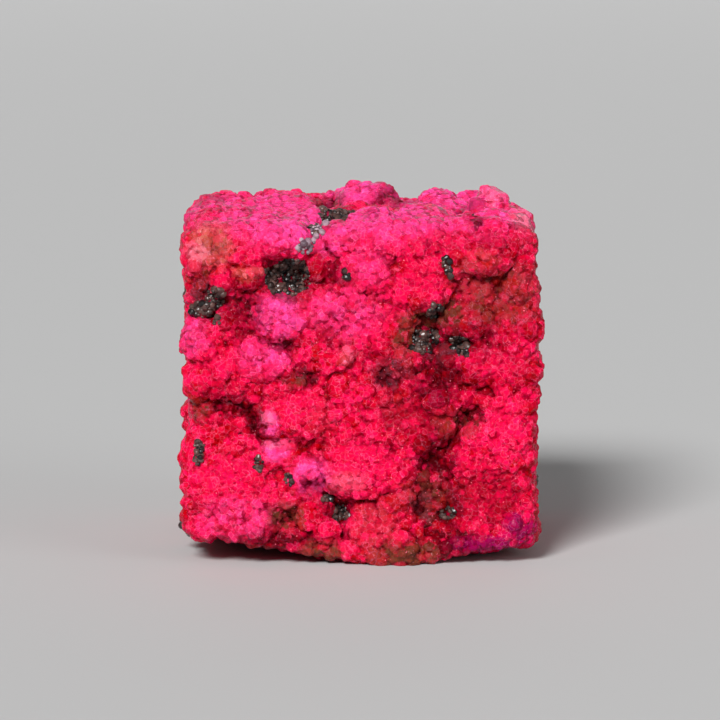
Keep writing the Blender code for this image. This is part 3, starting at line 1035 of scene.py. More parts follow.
# %% Tints on the top
# Across, back from the front edge, half width, half depth, strength.
TOP_TINTS = {
    # Pink over the whole top: partly the stone's own pink, partly painted light that makes the lit top
    # lighter.
    "pink": {
        "front_left": (-9.0, 7.0, 8.0, 9.0, 0.8),
        "front_middle": (3.0, 7.0, 6.0, 8.0, 0.95),
        "front_right": (14.0, 10.0, 6.0, 10.0, 0.7),
        "left": (-12.0, 24.0, 9.0, 10.0, 0.7),
        "crest": (0.6, 34.0, 4.4, 6.0, 1.0),
        "right": (11.0, 28.0, 9.0, 10.0, 0.8),
    },
    # Wine on the top: partly dark stain, partly painted shade in the seam and hollows.
    "wine": {
        "seam": (-3.6, 11.0, 1.2, 4.0, 0.7),
        "seam_back": (-1.4, 19.0, 1.6, 4.0, 0.8),
        "dark_crystal": (3.8, 29.0, 1.9, 3.6, 0.8),
        "hole": (12.2, 11.5, 1.2, 2.6, 0.9),
        "purple_crest": (9.4, 36.0, 1.6, 2.0, 0.5),
        "behind_hole": (11.6, 19.0, 2.0, 3.0, 0.4),
    },
    # Brown on the top: partly rust, partly painted shade in the saddle.
    "brown": {
        "saddle": (-3.4, 30.0, 1.8, 4.4, 0.7),
        "right_edge": (17.6, 2.0, 1.6, 1.6, 0.5),
        "left_edge": (-17.0, 28.0, 1.6, 5.0, 0.4),
    },
    "pale": {
        "ridge": (14.8, 21.0, 0.6, 3.0, 0.3),
        "right_spot": (17.8, 7.0, 1.4, 4.0, 0.9),
        "front_spot": (8.4, 15.0, 1.4, 3.0, 0.3),
        "left_spot": (-14.0, 6.0, 1.6, 2.0, 0.3),
    },
}

# %% Where the black grains are
BLACK_TOP_ZONES = {
    "seam": (-0.8, 20.5, 0.8, 2.2),
    "seam_middle": (-2.2, 17.0, 0.8, 2.4),
    "seam_front": (-3.6, 11.5, 0.9, 2.6),
    "by_the_hole": (12.3, 10.5, 0.4, 1.2),
}
BLACK_ZONES = {
    "pocket": (-8.1, 31.5, 2.5, 1.8),
    "left_pocket_low": (-17.4, 27.9, 1.2, 0.9),
    "left_pocket_high": (-16.0, 29.2, 0.9, 1.3),
    "left_pocket_foot": (-15.9, 26.8, 0.4, 0.4),
    "dot": (-2.0, 31.8, 0.45, 0.45),
    "wedge_high": (8.9, 33.1, 0.4, 0.6),
    "wedge_low": (9.3, 31.9, 0.3, 0.7),
    "right_pocket": (6.8, 24.4, 1.5, 1.2),
    "right_pocket_end": (10.5, 24.2, 0.9, 0.8),
    "right_pocket_foot": (10.8, 23.1, 0.7, 0.4),
    "under_dome": (8.0, 28.1, 0.8, 0.5),
    "under_dome_low": (7.5, 27.4, 0.5, 0.6),
    "edge_spot_high": (-17.9, 12.9, 0.5, 0.7),
    "edge_spot_low": (-18.0, 11.8, 0.5, 0.7),
    "slab_spot": (-11.4, 11.1, 0.5, 0.8),
    "shoulder_spot": (-8.1, 9.4, 0.45, 0.7),
    "corner_spot": (-2.4, 5.5, 0.8, 0.8),
    "corner_spot_high": (-3.9, 7.3, 0.7, 0.3),
    "crevice_spot": (9.4, 5.5, 0.9, 0.6),
    "seam": (-3.0, 38.0, 1.0, 0.4),
    "seam_foot": (-5.2, 36.6, 0.5, 0.3),
}
print(len(BLACK_ZONES) + len(BLACK_TOP_ZONES), "black spots")

# %% Zones as places
FRONT_ZONE_DEPTH = 5.0
TOP_ZONE_DEPTH = 3.0
TOP_ZONE_LIFT = 0.6


def front_zones(zones):
    """Named front zones as a middle, a reach each way and a strength."""
    for across, up, half_width, half_height, *strength in zones.values():
        reach = (half_width, FRONT_ZONE_DEPTH, half_height)
        yield (across, -HALF_DEPTH, up), reach, (strength or [1.0])[0]


def top_zones(zones):
    """Named top zones in the same form."""
    for across, back, half_width, half_depth, *strength in zones.values():
        reach = (half_width, half_depth, TOP_ZONE_DEPTH)
        yield (across, back - HALF_DEPTH, HEIGHT + TOP_ZONE_LIFT), reach, (strength or [1.0])[0]


def zone_share(places, zones, softness):
    """How strongly each place belongs to any of these zones."""
    share = np.zeros(len(places))
    for middle, reach, strength in zones:
        away = (places - middle) / reach
        near = np.flatnonzero((np.abs(away) < 1.0 + softness).all(axis=1))
        away = np.linalg.norm(away[near], axis=1)
        here = strength * (1.0 - smooth_step(1.0 - softness, 1.0 + softness, away))
        share[near] = np.maximum(share[near], here)
    return share


# %% [markdown]
# ## Colour for every crystal
#
# The sides that are less looked at get patches by chance, in the four commonest tints. Then
# each crystal takes its share of each tint as a whole, some more and some less, so that
# stains look as if they had soaked into single grains.

# %% Tint the crystals
SIDE_ZONES = 70
BLACK_SIDE_ZONES = 16
COMMON_TINTS = 4
tint_zones = {tint: list(front_zones(zones)) for tint, zones in FRONT_TINTS.items()}
for tint, zones in TOP_TINTS.items():
    tint_zones[tint] += top_zones(zones)
tint_zones["even"] = list(front_zones(SMOOTH_PATCHES))
black_zones = list(front_zones(BLACK_ZONES)) + list(top_zones(BLACK_TOP_ZONES))
unseen = lobes["place"]
unseen = unseen[(unseen[:, 1] > 7.0 - HALF_DEPTH) & (unseen[:, 2] < HEIGHT - 2.5)]
for middle in unseen[chance.integers(len(unseen), size=SIDE_ZONES)]:
    tint = list(FRONT_TINTS)[chance.integers(COMMON_TINTS)]
    tint_zones[tint].append((middle, chance.uniform(1.2, 4.0, size=3), chance.uniform(0.5, 0.9)))
for middle in unseen[chance.integers(len(unseen), size=BLACK_SIDE_ZONES)]:
    black_zones.append((middle, np.full(3, chance.uniform(0.5, 1.8)), 1.0))
patchy = 1.4 * chance.random(len(place)) ** 0.6
tint_shares = {
    tint: np.minimum(zone_share(place, zones, 0.45) * patchy, 1.0) for tint, zones in tint_zones.items()
}
note(len(tint_shares), "tints on", len(place), "crystals")

# %% [markdown]
# ## Cutting the skin into pieces
#
# The stone is one object, but its skin has close to a million triangles, which is more than
# one mesh should hold. So each face of the skin goes to the side of the block that it looks
# out from. The three grids overlap a little, and the finest one wins wherever they meet.

# %% Sides
SIDES = {
    "left": (0, -1),
    "right": (0, 1),
    "front": (1, -1),
    "back": (1, 1),
    "base": (2, -1),
    "top": (2, 1),
}
SIDE_NAMES = list(SIDES)
COARSE_SIDES = ("left", "right", "back", "base")
# The front and the top reach a little past the block's edges, since their grids are finer.
FRONT_BIAS = 1.08
TOP_BIAS = 1.03
# Inside this share of the face, and this far forward, a place is always the front's.
FACE_SHARE = 0.92
FRONT_DEPTH_SHARE = 0.72
# How far the skins of the coarser grids run on under the finer ones, as a share of the block.
SLACK = {"front": 0.0, "top": 0.015, "rest": 0.03}


def side_of(points, slack):
    """The number of the side that each point belongs to."""
    unit = (points - MIDDLE) / HALF_SIZE
    scores = np.stack([unit[:, axis] * sign for axis, sign in SIDES.values()], axis=1)
    scores *= [1, 1, FRONT_BIAS - slack, 1, 1, TOP_BIAS - slack]
    well_inside = (np.abs(unit[:, [0, 2]]) < FACE_SHARE - slack).all(axis=1)
    in_front_face = well_inside & (unit[:, 1] < -FRONT_DEPTH_SHARE)
    scores[in_front_face, SIDE_NAMES.index("front")] = 2.0
    return scores.argmax(axis=1)


# %% [markdown]
# ## Closing a piece
#
# A cut-out skin is open behind. Each piece is closed by a fan of thin walls that run from
# its rim to one point deep inside the stone, where nobody sees them. The rim itself is
# drawn in by a hair, so that it hides under the skin of the next piece.

# %% Piece mesh
TUCK = 0.006


def open_edges(faces, count):
    """The edges that only one face uses, in that face's direction."""
    ends = np.stack([faces, np.roll(faces, -1, axis=1)], axis=-1).reshape(-1, 2)
    codes = np.sort(ends, axis=1) @ np.array([count, 1])
    _, where, times = np.unique(codes, return_index=True, return_counts=True)
    return ends[where[times % 2 == 1]]


def mesh_of(name, points, quads, walls):
    """A smooth mesh of four-sided faces and three-sided walls, filled in one go."""
    loops = np.concatenate([quads.ravel(), walls.ravel()])
    wall_starts = len(quads) * 4 + np.arange(len(walls)) * 3
    starts = np.concatenate([np.arange(len(quads)) * 4, wall_starts])
    mesh = bpy.data.meshes.new(name)
    mesh.vertices.add(len(points))
    mesh.vertices.foreach_set("co", (points * MM).astype(np.float32).ravel())
    mesh.loops.add(len(loops))
    mesh.loops.foreach_set("vertex_index", loops.astype(np.int32))
    mesh.polygons.add(len(starts))
    mesh.polygons.foreach_set("loop_start", starts.astype(np.int32))
    mesh.update(calc_edges=True)
    mesh.validate()
    mesh.shade_smooth()
    return mesh


def sharpen(mesh, chosen):
    """Makes the chosen edges sharp, so that the walls don't bend the light on the skin."""
    weights = np.array([len(mesh.vertices), 1])
    edges = np.empty(len(mesh.edges) * 2, np.int32)
    mesh.edges.foreach_get("vertices", edges)
    edges = np.sort(edges.reshape(-1, 2), axis=1) @ weights
    sharp = np.isin(edges, np.sort(chosen, axis=1) @ weights)
    mesh.attributes.new("sharp_edge", "BOOLEAN", "EDGE").data.foreach_set("value", sharp)


def in_scene(name, mesh):
    """An object in the scene that shows this mesh."""
    piece = bpy.data.objects.new(name, mesh)
    bpy.context.scene.collection.objects.link(piece)
    return piece


def make_piece(name, points, faces, inner, held):
    """A piece of these faces, closed by walls to an inner point, and the points it uses.

    Held points are not drawn in, because the next piece has the same points there.
    """
    used, faces = np.unique(faces, return_inverse=True)
    faces = faces.reshape(-1, 4)
    points = points[used]
    rim = open_edges(faces, len(points))
    drawn_in = np.unique(rim)
    drawn_in = drawn_in[~held[used][drawn_in]]
    points[drawn_in] += TUCK * (inner - points[drawn_in])
    walls = np.stack([rim[:, 1], rim[:, 0], np.full(len(rim), len(points))], axis=1)
    mesh = mesh_of(name, np.concatenate([points, inner[None]]), faces, walls)
    sharpen(mesh, rim)
    return in_scene(name, mesh), used


# %% Facts kept on a piece
def keep_fact(piece, name, values):
    """Stores one number for each point of a piece, for its material to read."""
    values = np.append(values, 0.0).astype(np.float32)
    piece.data.attributes.new(name, "FLOAT", "POINT").data.foreach_set("value", values)


def place_on_stone(piece, material):
    """Gives a piece its material and ties it to the stone's own body."""
    piece.data.materials.append(material)
    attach(piece, "root")
    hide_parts("ruby")


# %% [markdown]
# ## A short way to wire nodes
#
# A material is a chain of nodes. Wired one by one they fill pages, so a small helper adds
# each kind that is needed in one call: an input that is itself a socket gets linked, and
# any other input is set as a plain value.

# %% Nodes helper
class Nodes:
    """A material's nodes, with a short way to add each kind that is needed."""

    def __init__(self, name):
        self.material = bpy.data.materials.new(name)
        self.material.use_nodes = True
        self.nodes = self.material.node_tree.nodes
        self.links = self.material.node_tree.links
        self.shader = self.nodes["Principled BSDF"]

    def add(self, kind, inputs=None, **settings):
        node = self.nodes.new(kind)
        for name, value in settings.items():
            setattr(node, name, value)
        for key, value in (inputs or {}).items():
            if isinstance(value, bpy.types.NodeSocket):
                self.links.new(value, node.inputs[key])
            else:
                node.inputs[key].default_value = value
        return node

    def fact(self, name):
        return self.add("ShaderNodeAttribute", attribute_name=name).outputs["Fac"]

    def math(self, operation, first, second=0.0, clamp=False):
        inputs = {0: first, 1: second}
        return self.add("ShaderNodeMath", inputs, operation=operation, use_clamp=clamp).outputs[0]

    def vector(self, operation, first, second, result="Vector"):
        inputs = {0: first, 1: second}
        return self.add("ShaderNodeVectorMath", inputs, operation=operation).outputs[result]

    def between(self, value, low, high, out_low=0.0, out_high=1.0):
        inputs = {"Value": value, "From Min": low, "From Max": high, "To Min": out_low, "To Max": out_high}
        return self.add("ShaderNodeMapRange", inputs).outputs["Result"]

    def mixed(self, share, first, second):
        first = first if isinstance(first, bpy.types.NodeSocket) else (*first, 1)
        second = second if isinstance(second, bpy.types.NodeSocket) else (*second, 1)
        return self.add("ShaderNodeMix", {0: share, 6: first, 7: second}, data_type="RGBA").outputs[2]

    def mixed_number(self, share, first, second):
        return self.add("ShaderNodeMix", {0: share, 2: first, 3: second}).outputs[0]

    def blended(self, how, color, other):
        inputs = {0: 1.0, 6: color, 7: (*other, 1)}
        return self.add("ShaderNodeMix", inputs, data_type="RGBA", blend_type=how).outputs[2]

    def noise(self, place, scale, detail):
        inputs = {"Vector": place, "Scale": scale, "Detail": detail}
        return self.add("ShaderNodeTexNoise", inputs).outputs

    def voronoi(self, place, scale, **settings):
        return self.add("ShaderNodeTexVoronoi", {"Vector": place, "Scale": scale}, **settings).outputs

    def set(self, **values):
        """Plain values for the shader's own sockets, with _ for each space in a name."""
        for name, value in values.items():
            self.shader.inputs[name.replace("_", " ")].default_value = value

    def feed(self, name, socket):
        self.links.new(socket, self.shader.inputs[name])


# %% [markdown]
# ## The colours of the ruby
#
# A ruby grain is red right through. Where the crust is thick it looks deep crimson, and
# where the crystals are fine and full of tiny cracks it turns pink; across the top the pink
# is also painted light, making the lit top lighter. Rust stains it brown, and the dark
# mineral shows through as wine and grey; in crevices, hollows and under lumps the wine and
# brown are also painted shade. Each tint here is a plain colour; how much of it a place gets
# is a fact stored on the mesh.

# %% Ruby colours
LOW_RED = (0.48, 0.0002, 0.006)
HIGH_RED = (0.88, 0.004, 0.080)
TINTS = {
    "pink": (0.90, 0.052, 0.28),
    "salmon": (0.46, 0.022, 0.034),
    "crimson": (0.34, 0.0004, 0.010),
    "wine": (0.13, 0.0003, 0.005),
    "tan": (0.52, 0.11, 0.075),
    "brown": (0.15, 0.034, 0.016),
    "grey": (0.13, 0.020, 0.028),
    "pale": (0.90, 0.20, 0.30),
    "violet": (0.28, 0.001, 0.065),
}
# Painted shade that hollows and gaps multiply the colour by, and painted sheen that edges and crests add to
# it.
HOLLOW_SHADE = (0.5, 0.34, 0.42)
GAP_SHADE = (0.7, 0.34, 0.44)
EDGE_SHEEN = (0.22, 0.07, 0.14)
# Painted glint: the colour of small bright spots that stand for sparkle in the crystals.
PAINTED_GLINT = (1.0, 0.2, 0.3)
EVEN_SHADE = 0.98
# Cells to the millimetre: flat faces, finer faces and painted glints on them, and slow clouds.
GRAIN_SCALE = 1.7
FINE_CELL_SCALE = 4.2
CLOUD_SCALE = 0.45
MM_PER_METRE = 1000.0


def bent_place(made):
    """The place on the stone in millimetres, plain and slightly bent."""
    place = made.vector("SCALE", made.add("ShaderNodeTexCoord").outputs["Object"], (0, 0, 0))
    place.node.inputs["Scale"].default_value = MM_PER_METRE
    wobble = made.noise(place, 1.6, 2.0)["Color"]
    return place, made.vector("ADD", place, made.vector("MULTIPLY", wobble, (0.5, 0.5, 0.5)))


def red_of_crystal(made, place, grain):
    """The plain red, lighter or darker by crystal, by flat face and by slow clouds."""
    cloud = made.noise(place, CLOUD_SCALE, 3.0)["Fac"]
    shade = made.math("MULTIPLY", made.fact("shade"), 0.65)
    shade = made.math("ADD", shade, made.math("MULTIPLY", grain["Color"], 0.35))
    shade = made.math("ADD", shade, made.math("MULTIPLY", made.between(cloud, 0.3, 0.7), 0.4))
    shade = made.mixed_number(made.math("MULTIPLY", made.fact("even"), 0.7), shade, EVEN_SHADE)
    return made.mixed(made.between(shade, 0.35, 1.05), LOW_RED, HIGH_RED)


def tinted(made, color, grain):
    """The colour with every tint laid over it, a little unevenly."""
    uneven = made.between(grain["Color"], 0.0, 1.0, 0.6, 1.3)
    for tint, tint_color in TINTS.items():
        share = made.math("MULTIPLY", made.fact(tint), uneven, clamp=True)
        color = made.mixed(share, color, tint_color)
    return color


# %% [markdown]
# ## Painted shade and sheen
#
# The hollows are painted darker and redder, and the thin gaps between crystals darkest:
# painted shade, where little light reaches. The edges and crests of the crystals are
# painted paler, a painted sheen where light catches them. Both come from two facts
# measured on the mesh, how hollow the place is on a wide scale and on a fine one.

# %% Painted shade in hollows and gaps, painted sheen on edges
def with_painted_shade(made, color):
    """The colour with painted shade: its hollows, and the gaps between crystals, darkened."""
    deep = made.blended("MULTIPLY", color, HOLLOW_SHADE)
    color = made.mixed(made.between(made.fact("hollow"), 0.53, 0.66), color, deep)
    gap = made.blended("MULTIPLY", color, GAP_SHADE)
    calm = made.between(made.fact("even"), 0, 1, 1, 0.3)
    gap_shade_share = made.math("MULTIPLY", made.between(made.fact("crest"), 0.54, 0.68), calm)
    return made.mixed(gap_shade_share, color, gap)


def with_painted_sheen(made, color, grain, bent):
    """The colour with a painted sheen: pale crests and pale rims on the flat faces, except on the dark
    tints.
    """
    # Painted sheen where light would catch the crystals' edges and crests.
    rim = made.voronoi(bent, GRAIN_SCALE, feature="DISTANCE_TO_EDGE")["Distance"]
    sheened = made.blended("ADD", color, EDGE_SHEEN)
    edge = made.math("MULTIPLY", made.between(rim, 0.10, 0.03), made.between(grain["Color"], 0.3, 1.0))
    edge = made.math("MAXIMUM", edge, made.between(made.fact("crest"), 0.36, 0.22))
    dark_tint_share = made.math("MAXIMUM", made.fact("wine"), made.fact("brown"))
    dark_tint_share = made.math("MAXIMUM", dark_tint_share, made.math("MULTIPLY", made.fact("crimson"), 0.6))
    edge = made.math("MULTIPLY", edge, made.between(dark_tint_share, 0.0, 1.0, 1.0, 0.15))
    edge = made.math("MULTIPLY", edge, made.between(made.fact("hollow"), 0.52, 0.60, 1.0, 0.25))
    return made.mixed(edge, color, sheened)


def with_painted_glints(made, color, bent):
    """The colour with small bright painted glints, spots that stand for sparkle inside the crystals."""
    glint_cell = made.voronoi(bent, FINE_CELL_SCALE)
    bright = made.between(glint_cell["Color"], 0.82, 1.0)
    share = made.math("MULTIPLY", bright, made.between(glint_cell["Distance"], 0.36, 0.26))
    return made.mixed(share, color, PAINTED_GLINT)


# %% [markdown]
# ## Flat faces and the shine
#
# The crystals have flat faces far smaller than the mesh can hold. Each cell of a Voronoi
# pattern is given a slope of its own, and a bump node tilts the light by it. The shine is
# weak and pink, because the crust is rough and the light that leaves it has been through
# ruby. A little subsurface glow softens the shadows the way clear grains do.

# %% Ruby material
FACE_SLOPES = ((GRAIN_SCALE, 1.1), (FINE_CELL_SCALE, 0.35))


def small_faces(made, bent):
    """A bump of flat cells, each sloping its own way."""
    height = None
    for scale, amount in FACE_SLOPES:
        cell = made.voronoi(bent, scale)
        tilt = made.vector("SUBTRACT", cell["Color"], (0.5, 0.5, 0.5))
        from_middle = made.vector("SUBTRACT", bent, cell["Position"])
        slope = made.math("MULTIPLY", made.vector("DOT_PRODUCT", tilt, from_middle, "Value"), amount)
        height = slope if height is None else made.math("ADD", height, slope)
    return made.add("ShaderNodeBump", {"Height": height, "Strength": 1.0, "Distance": MM})


def ruby_material():
    made = Nodes("ruby")
    place, bent = bent_place(made)
    grain = made.voronoi(bent, GRAIN_SCALE)
    color = tinted(made, red_of_crystal(made, place, grain), grain)
    # Painted shade in hollows and gaps, then a painted sheen on crystal edges and crests.
    color = with_painted_sheen(made, with_painted_shade(made, color), grain, bent)
    # Small painted glints go on last.
    made.feed("Base Color", with_painted_glints(made, color, bent))
    made.feed("Normal", small_faces(made, bent).outputs["Normal"])
    made.feed("Roughness", made.between(grain["Distance"], 0.0, 0.5, 0.08, 0.18))
    made.set(IOR=1.5, Specular_IOR_Level=0.07, Specular_Tint=(1.0, 0.6, 0.7, 1))
    made.set(Subsurface_Weight=0.3, Subsurface_Radius=(1.0, 0.06, 0.08), Subsurface_Scale=0.0003)
    return made.material


ruby = ruby_material()
print("ruby material:", len(ruby.node_tree.nodes), "nodes")

# %% [markdown]
# ## The ruby pieces
#
# Every point of a piece asks which crystal owns it, and takes that crystal's shade and most
# of its tint. So a stain stops at the edge of a crystal, as it does on the real stone,
# instead of fading across it like paint.

# %% Finish a piece
ZONE_SOFTNESS = 0.45
OWN_TINT_SHARE = 0.8
WIDE_REACH = 1.2
FINE_REACH = 0.25


def finish_piece(name, grid, points, faces, inner, held):
    piece, used = make_piece(name, points, faces, inner, held)
    kept = points[used]
    owner = at(grid["owner"], grid, kept)
    owned = owner >= 0
    keep_fact(piece, "shade", np.where(owned, shade[owner], 0.5))
    for tint, zones in tint_zones.items():
        here = zone_share(kept, zones, ZONE_SOFTNESS)
        of_crystal = (1.0 - OWN_TINT_SHARE) * here + OWN_TINT_SHARE * tint_shares[tint][owner]
        keep_fact(piece, tint, np.where(owned, of_crystal, here))
    keep_fact(piece, "hollow", grid["hollow"][used])
    keep_fact(piece, "crest", grid["crest"][used])
    place_on_stone(piece, ruby)
    note(name, sum(len(polygon.vertices) - 2 for polygon in piece.data.polygons), "triangles")


# %% [markdown]
# ## Front, top and the rest
#
# The front is cut in two down the middle, along the edges of crystals. Each piece's walls
# meet at a point of its own, well inside the stone.

# %% Make the ruby pieces
INNER_SHIFT = 6.0
HALVES = {"left": -1, "right": 1}


def make_front(grid, points, faces, side, owner, middles):
    """The two halves of the front, cut along the edges of crystals."""
    held = np.full(len(points), True)
    across = np.where(owner >= 0, home[owner, 0], middles[:, 0])
    front = side == SIDE_NAMES.index("front")
    for half, sign in HALVES.items():
        in_half = front & (across < 0 if sign < 0 else across >= 0)
        inner = np.array([sign * 4.0, -INNER_SHIFT, MIDDLE[2]])
        finish_piece("ruby_front_" + half, grid, points, faces[in_half], inner, held)


def make_top(grid, points, faces, side):
    held = np.full(len(points), False)
    inner = MIDDLE + [0, 0, INNER_SHIFT]
    finish_piece("ruby_top", grid, points, faces[side == SIDE_NAMES.index("top")], inner, held)


def make_rest(grid, points, faces, side):
    """The other sides. Points that two of them share are held, so no gap opens there."""
    users = np.zeros(len(points), int)
    for name in COARSE_SIDES:
        users[np.unique(faces[side == SIDE_NAMES.index(name)])] += 1
    for name in COARSE_SIDES:
        axis, sign = SIDES[name]
        inner = MIDDLE + sign * INNER_SHIFT * np.eye(3)[axis]
        chosen = faces[side == SIDE_NAMES.index(name)]
        finish_piece("ruby_" + name, grid, points, chosen, inner, users > 1)


for key, grid in grids.items():
    points, faces = skin_of(grid)
    faces = largest_part(faces, len(points))
    points[:, 2] = np.maximum(points[:, 2], 0.0)
    grid["hollow"] = hollow_share(grid, points, WIDE_REACH)
    grid["crest"] = hollow_share(grid, points, FINE_REACH)
    middles = points[faces].mean(axis=1)
    side = side_of(middles, SLACK[key])
    if key == "front":
        make_front(grid, points, faces, side, at(grid["owner"], grid, middles), middles)
    elif key == "top":
        make_top(grid, points, faces, side)
    else:
        make_rest(grid, points, faces, side)

# %% [markdown]
# ## Black and pale grains
#
# Other minerals are caught among the crystals: shiny black ones in the hollows, and a few
# grey-white ones near the top edge. Each grain is a faceted ball of its own, half sunk in
# the ruby. It could be an instance of one ball, but a joined mesh lets every grain have its
# own size, turn and worn corners.

# %% Grain meshes
PALE_ZONES = {
    "beside_pocket": (-6.2, 35.0, 1.0, 0.8),
    "lilac": (-5.0, 36.4, 0.7, 0.5),
    "lilac_high": (-4.4, 37.4, 0.6, 0.4),
}
GRAIN_STAND = (0.5, 1.1)
LEAST_FACING = 0.05


def ball_parts():
    """The directions and the faces of a ball made of triangles."""
    ball = bpy.data.meshes.new("ball")
    shape = bmesh.new()
    bmesh.ops.create_icosphere(shape, subdivisions=2, radius=1.0)
    shape.to_mesh(ball)
    shape.free()
    ways = np.array([vertex.co for vertex in ball.vertices])
    corners = np.array([polygon.vertices for polygon in ball.polygons])
    bpy.data.meshes.remove(ball)
    return ways, corners


def loose_grains(name, places, outward, radius_range, roundness, material):
    """Faceted balls joined in one mesh."""
    ways, corners = ball_parts()
    grains = grow(places, outward, (0.0, 1.0), (0.0, 0.0), (0, 1), chance)
    low, high = radius_range
    grains["radius"] = low * (high / low) ** (chance.random(len(places)) ** 1.5)
    stand = chance.uniform(*GRAIN_STAND, size=len(places)) * grains["radius"]
    grains["middle"] = places + outward * (stand - grains["radius"])[:, None]
    points = []
    for index, radius in enumerate(grains["radius"]):
        facing = ways @ grains["turn"][index] @ FACETS.T
        exits = grains["reach"][index] / np.maximum(facing, LEAST_FACING)
        exits = np.where(facing > LEAST_FACING, exits, 9.0)
        reach = roundness + (1 - roundness) * exits.min(axis=1)
        points.append(grains["middle"][index] + radius * reach[:, None] * ways)
    faces = np.concatenate([corners + len(ways) * index for index in range(len(points))])
    points = np.concatenate(points)
    points[:, 2] = np.maximum(points[:, 2], 0.0)
    mesh = bpy.data.meshes.new(name)
    mesh.from_pydata(points * MM, [], faces)
    piece = in_scene(name, mesh)
    keep_fact(piece, "shade", np.repeat(grains["shade"], len(ways))[:-1])
    place_on_stone(piece, material)
    note(name, len(places), "grains,", len(faces), "triangles")


# %% Where the grains sit
def grains_in(zones, name, gap, radius_range, roundness, material):
    """Grains of another mineral, spread over the skin wherever a zone is strong."""
    places = []
    outward = []
    for key, grid in (("front", grids["front"]), ("rest", stone)):
        points, _ = skin_of(grid)
        inside = zone_share(points, zones, 0.4) > 0.3 + 0.4 * waves(points, 2.2, 17)
        in_front = side_of(points, 0.0) == SIDE_NAMES.index("front")
        inside &= in_front if key == "front" else ~in_front
        points = points[inside]
        points = points[spread(points, gap, chance)]
        places.append(points)
        outward.append(ways_out(grid, points, 0.3))
    places = np.concatenate(places)
    loose_grains(name, places, np.concatenate(outward), radius_range, roundness, material)


# %% [markdown]
# ## The two other minerals
#
# The black mineral is nearly opaque and has a duller shine than glass. The pale one is a
# milky grey with a touch of the pink around it. One function makes both, from a dark and a
# light colour.

# %% Minerals
def mineral_material(name, dark, light, roughness):
    made = Nodes(name)
    place = made.add("ShaderNodeTexCoord").outputs["Object"]
    cloud = made.noise(place, 1.5 * MM_PER_METRE, 3.0)["Fac"]
    share = made.math("MULTIPLY", made.fact("shade"), 0.5)
    share = made.math("ADD", share, made.math("MULTIPLY", cloud, 0.5))
    made.feed("Base Color", made.mixed(made.between(share, 0.35, 0.75), dark, light))
    bump = made.add("ShaderNodeBump", {"Height": cloud, "Strength": 0.6, "Distance": 0.1 * MM})
    made.feed("Normal", bump.outputs["Normal"])
    made.set(Roughness=roughness, IOR=1.6, Specular_IOR_Level=0.35)
    return made.material


black_mineral = mineral_material("black_mineral", (0.006, 0.004, 0.004), (0.11, 0.052, 0.045), 0.3)
pale_mineral = mineral_material("pale_mineral", (0.10, 0.06, 0.08), (0.46, 0.32, 0.38), 0.26)
pale_zones = list(front_zones(PALE_ZONES))
grains_in(black_zones, "black_grains", 0.32, (0.18, 0.5), 0.05, black_mineral)
grains_in(pale_zones, "pale_grains", 0.36, (0.2, 0.5), 0.1, pale_mineral)

# %% [markdown]
# ## The floor
#
# A stone this bright needs a calm, pale ground. One sheet lies flat under it and bends up in
# a wide curve far behind, so that no horizon line shows.

# %% Floor
FLOOR_HALF_WIDTH = 1.2
FLOOR_FRONT = -1.4
FLOOR_BACK = 1.6
FLOOR_CURVE = 0.5
FLOOR_RISE = 1.4
CURVE_STEPS = 9


def floor_profile():
    """The sheet seen from its side: flat, then a quarter turn, then up."""
    profile = [(FLOOR_FRONT, 0.0), (FLOOR_BACK, 0.0)]
    for step in range(1, CURVE_STEPS + 1):
        turn = math.radians(90 * step / CURVE_STEPS)
        profile.append((FLOOR_BACK + FLOOR_CURVE * math.sin(turn), FLOOR_CURVE * (1 - math.cos(turn))))
    return profile + [(FLOOR_BACK + FLOOR_CURVE, FLOOR_RISE)]


def make_floor():
    """A pale sheet that lies under the stone and curves up far behind it."""
    profile = floor_profile()
    vertices = [(x, y, z) for y, z in profile for x in (-FLOOR_HALF_WIDTH, FLOOR_HALF_WIDTH)]
    faces = [(2 * k, 2 * k + 1, 2 * k + 3, 2 * k + 2) for k in range(len(profile) - 1)]
    mesh = bpy.data.meshes.new("floor")
    mesh.from_pydata(vertices, [], faces)
    mesh.shade_smooth()
    made = Nodes("floor")
    made.set(Base_Color=(0.5, 0.5, 0.5, 1), Roughness=0.8)
    mesh.materials.append(made.material)
    in_scene("floor", mesh)


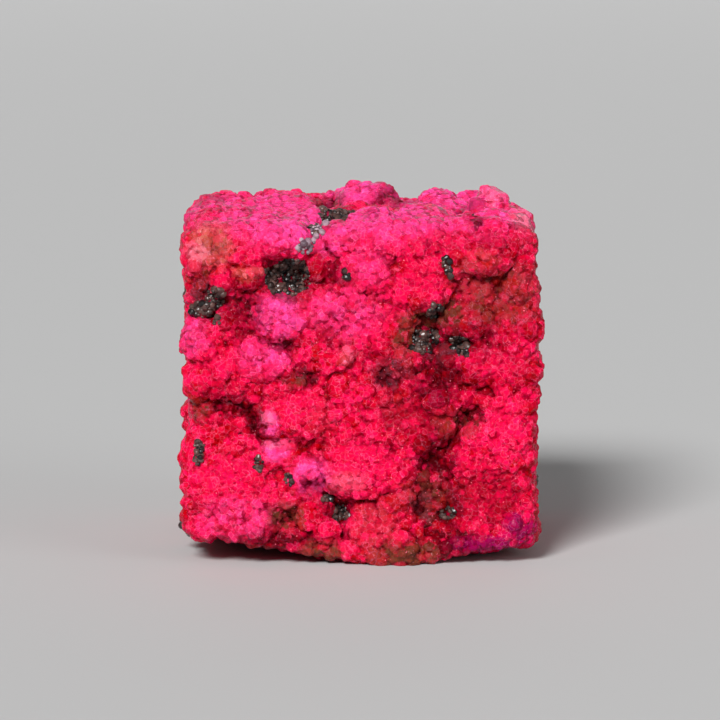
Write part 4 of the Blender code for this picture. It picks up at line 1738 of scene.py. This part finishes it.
make_floor()

# %% [markdown]
# ## The light
#
# One broad soft key light comes from high in front, a little to the left. It picks out the
# crystals and leaves gentle shadows under the lumps. A weak fill from the right and a dim
# white world keep those shadows open.

# %% Lights
LAMP_AIM = Vector((0.0, 0.0, 0.018))


def make_lamp(name, kind, place, strength):
    light = bpy.data.lights.new(name, kind)
    light.energy = strength
    lamp = bpy.data.objects.new(name, light)
    lamp.location = place
    lamp.rotation_euler = (LAMP_AIM - Vector(place)).to_track_quat("-Z", "Y").to_euler()
    bpy.context.scene.collection.objects.link(lamp)
    return light


key_light = make_lamp("key", "SUN", (-0.24, -0.70, 0.52), 4.2)
key_light.angle = math.radians(18)
fill_light = make_lamp("fill", "AREA", (0.6, -0.5, 0.3), 1.5)
fill_light.shape = "RECTANGLE"
fill_light.size = 0.5
fill_light.size_y = 0.4
world = bpy.data.worlds.new("studio")
world.use_nodes = True
world.node_tree.nodes["Background"].inputs["Color"].default_value = (1.0, 1.0, 1.0, 1)
world.node_tree.nodes["Background"].inputs["Strength"].default_value = 0.15
bpy.context.scene.world = world
bpy.context.scene.view_settings.view_transform = "Standard"
print("key light", key_light.energy, "fill light", fill_light.energy)

# %% [markdown]
# ## The camera
#
# A long lens from half a metre away, slightly above the stone, keeps the sides of the block
# nearly parallel and shows a sliver of its top.

# %% Camera
ELEVATION = math.radians(7.0)
YAW = math.radians(1.0)
DISTANCE = 0.5625
AIM = Vector((0.0, 0.0, 0.0201))
level = math.cos(ELEVATION)
direction = Vector((-math.sin(YAW) * level, -math.cos(YAW) * level, math.sin(ELEVATION)))
camera_data = bpy.data.cameras.new("camera")
camera_data.lens = 250.0
camera_data.sensor_width = 36.0
camera_data.clip_end = 20.0
camera = bpy.data.objects.new("camera", camera_data)
camera.location = AIM + direction * DISTANCE
camera.rotation_euler = (-direction).to_track_quat("-Z", "Y").to_euler()
bpy.context.scene.collection.objects.link(camera)
bpy.context.scene.camera = camera
note("camera at", [round(value, 3) for value in camera.location], "m")
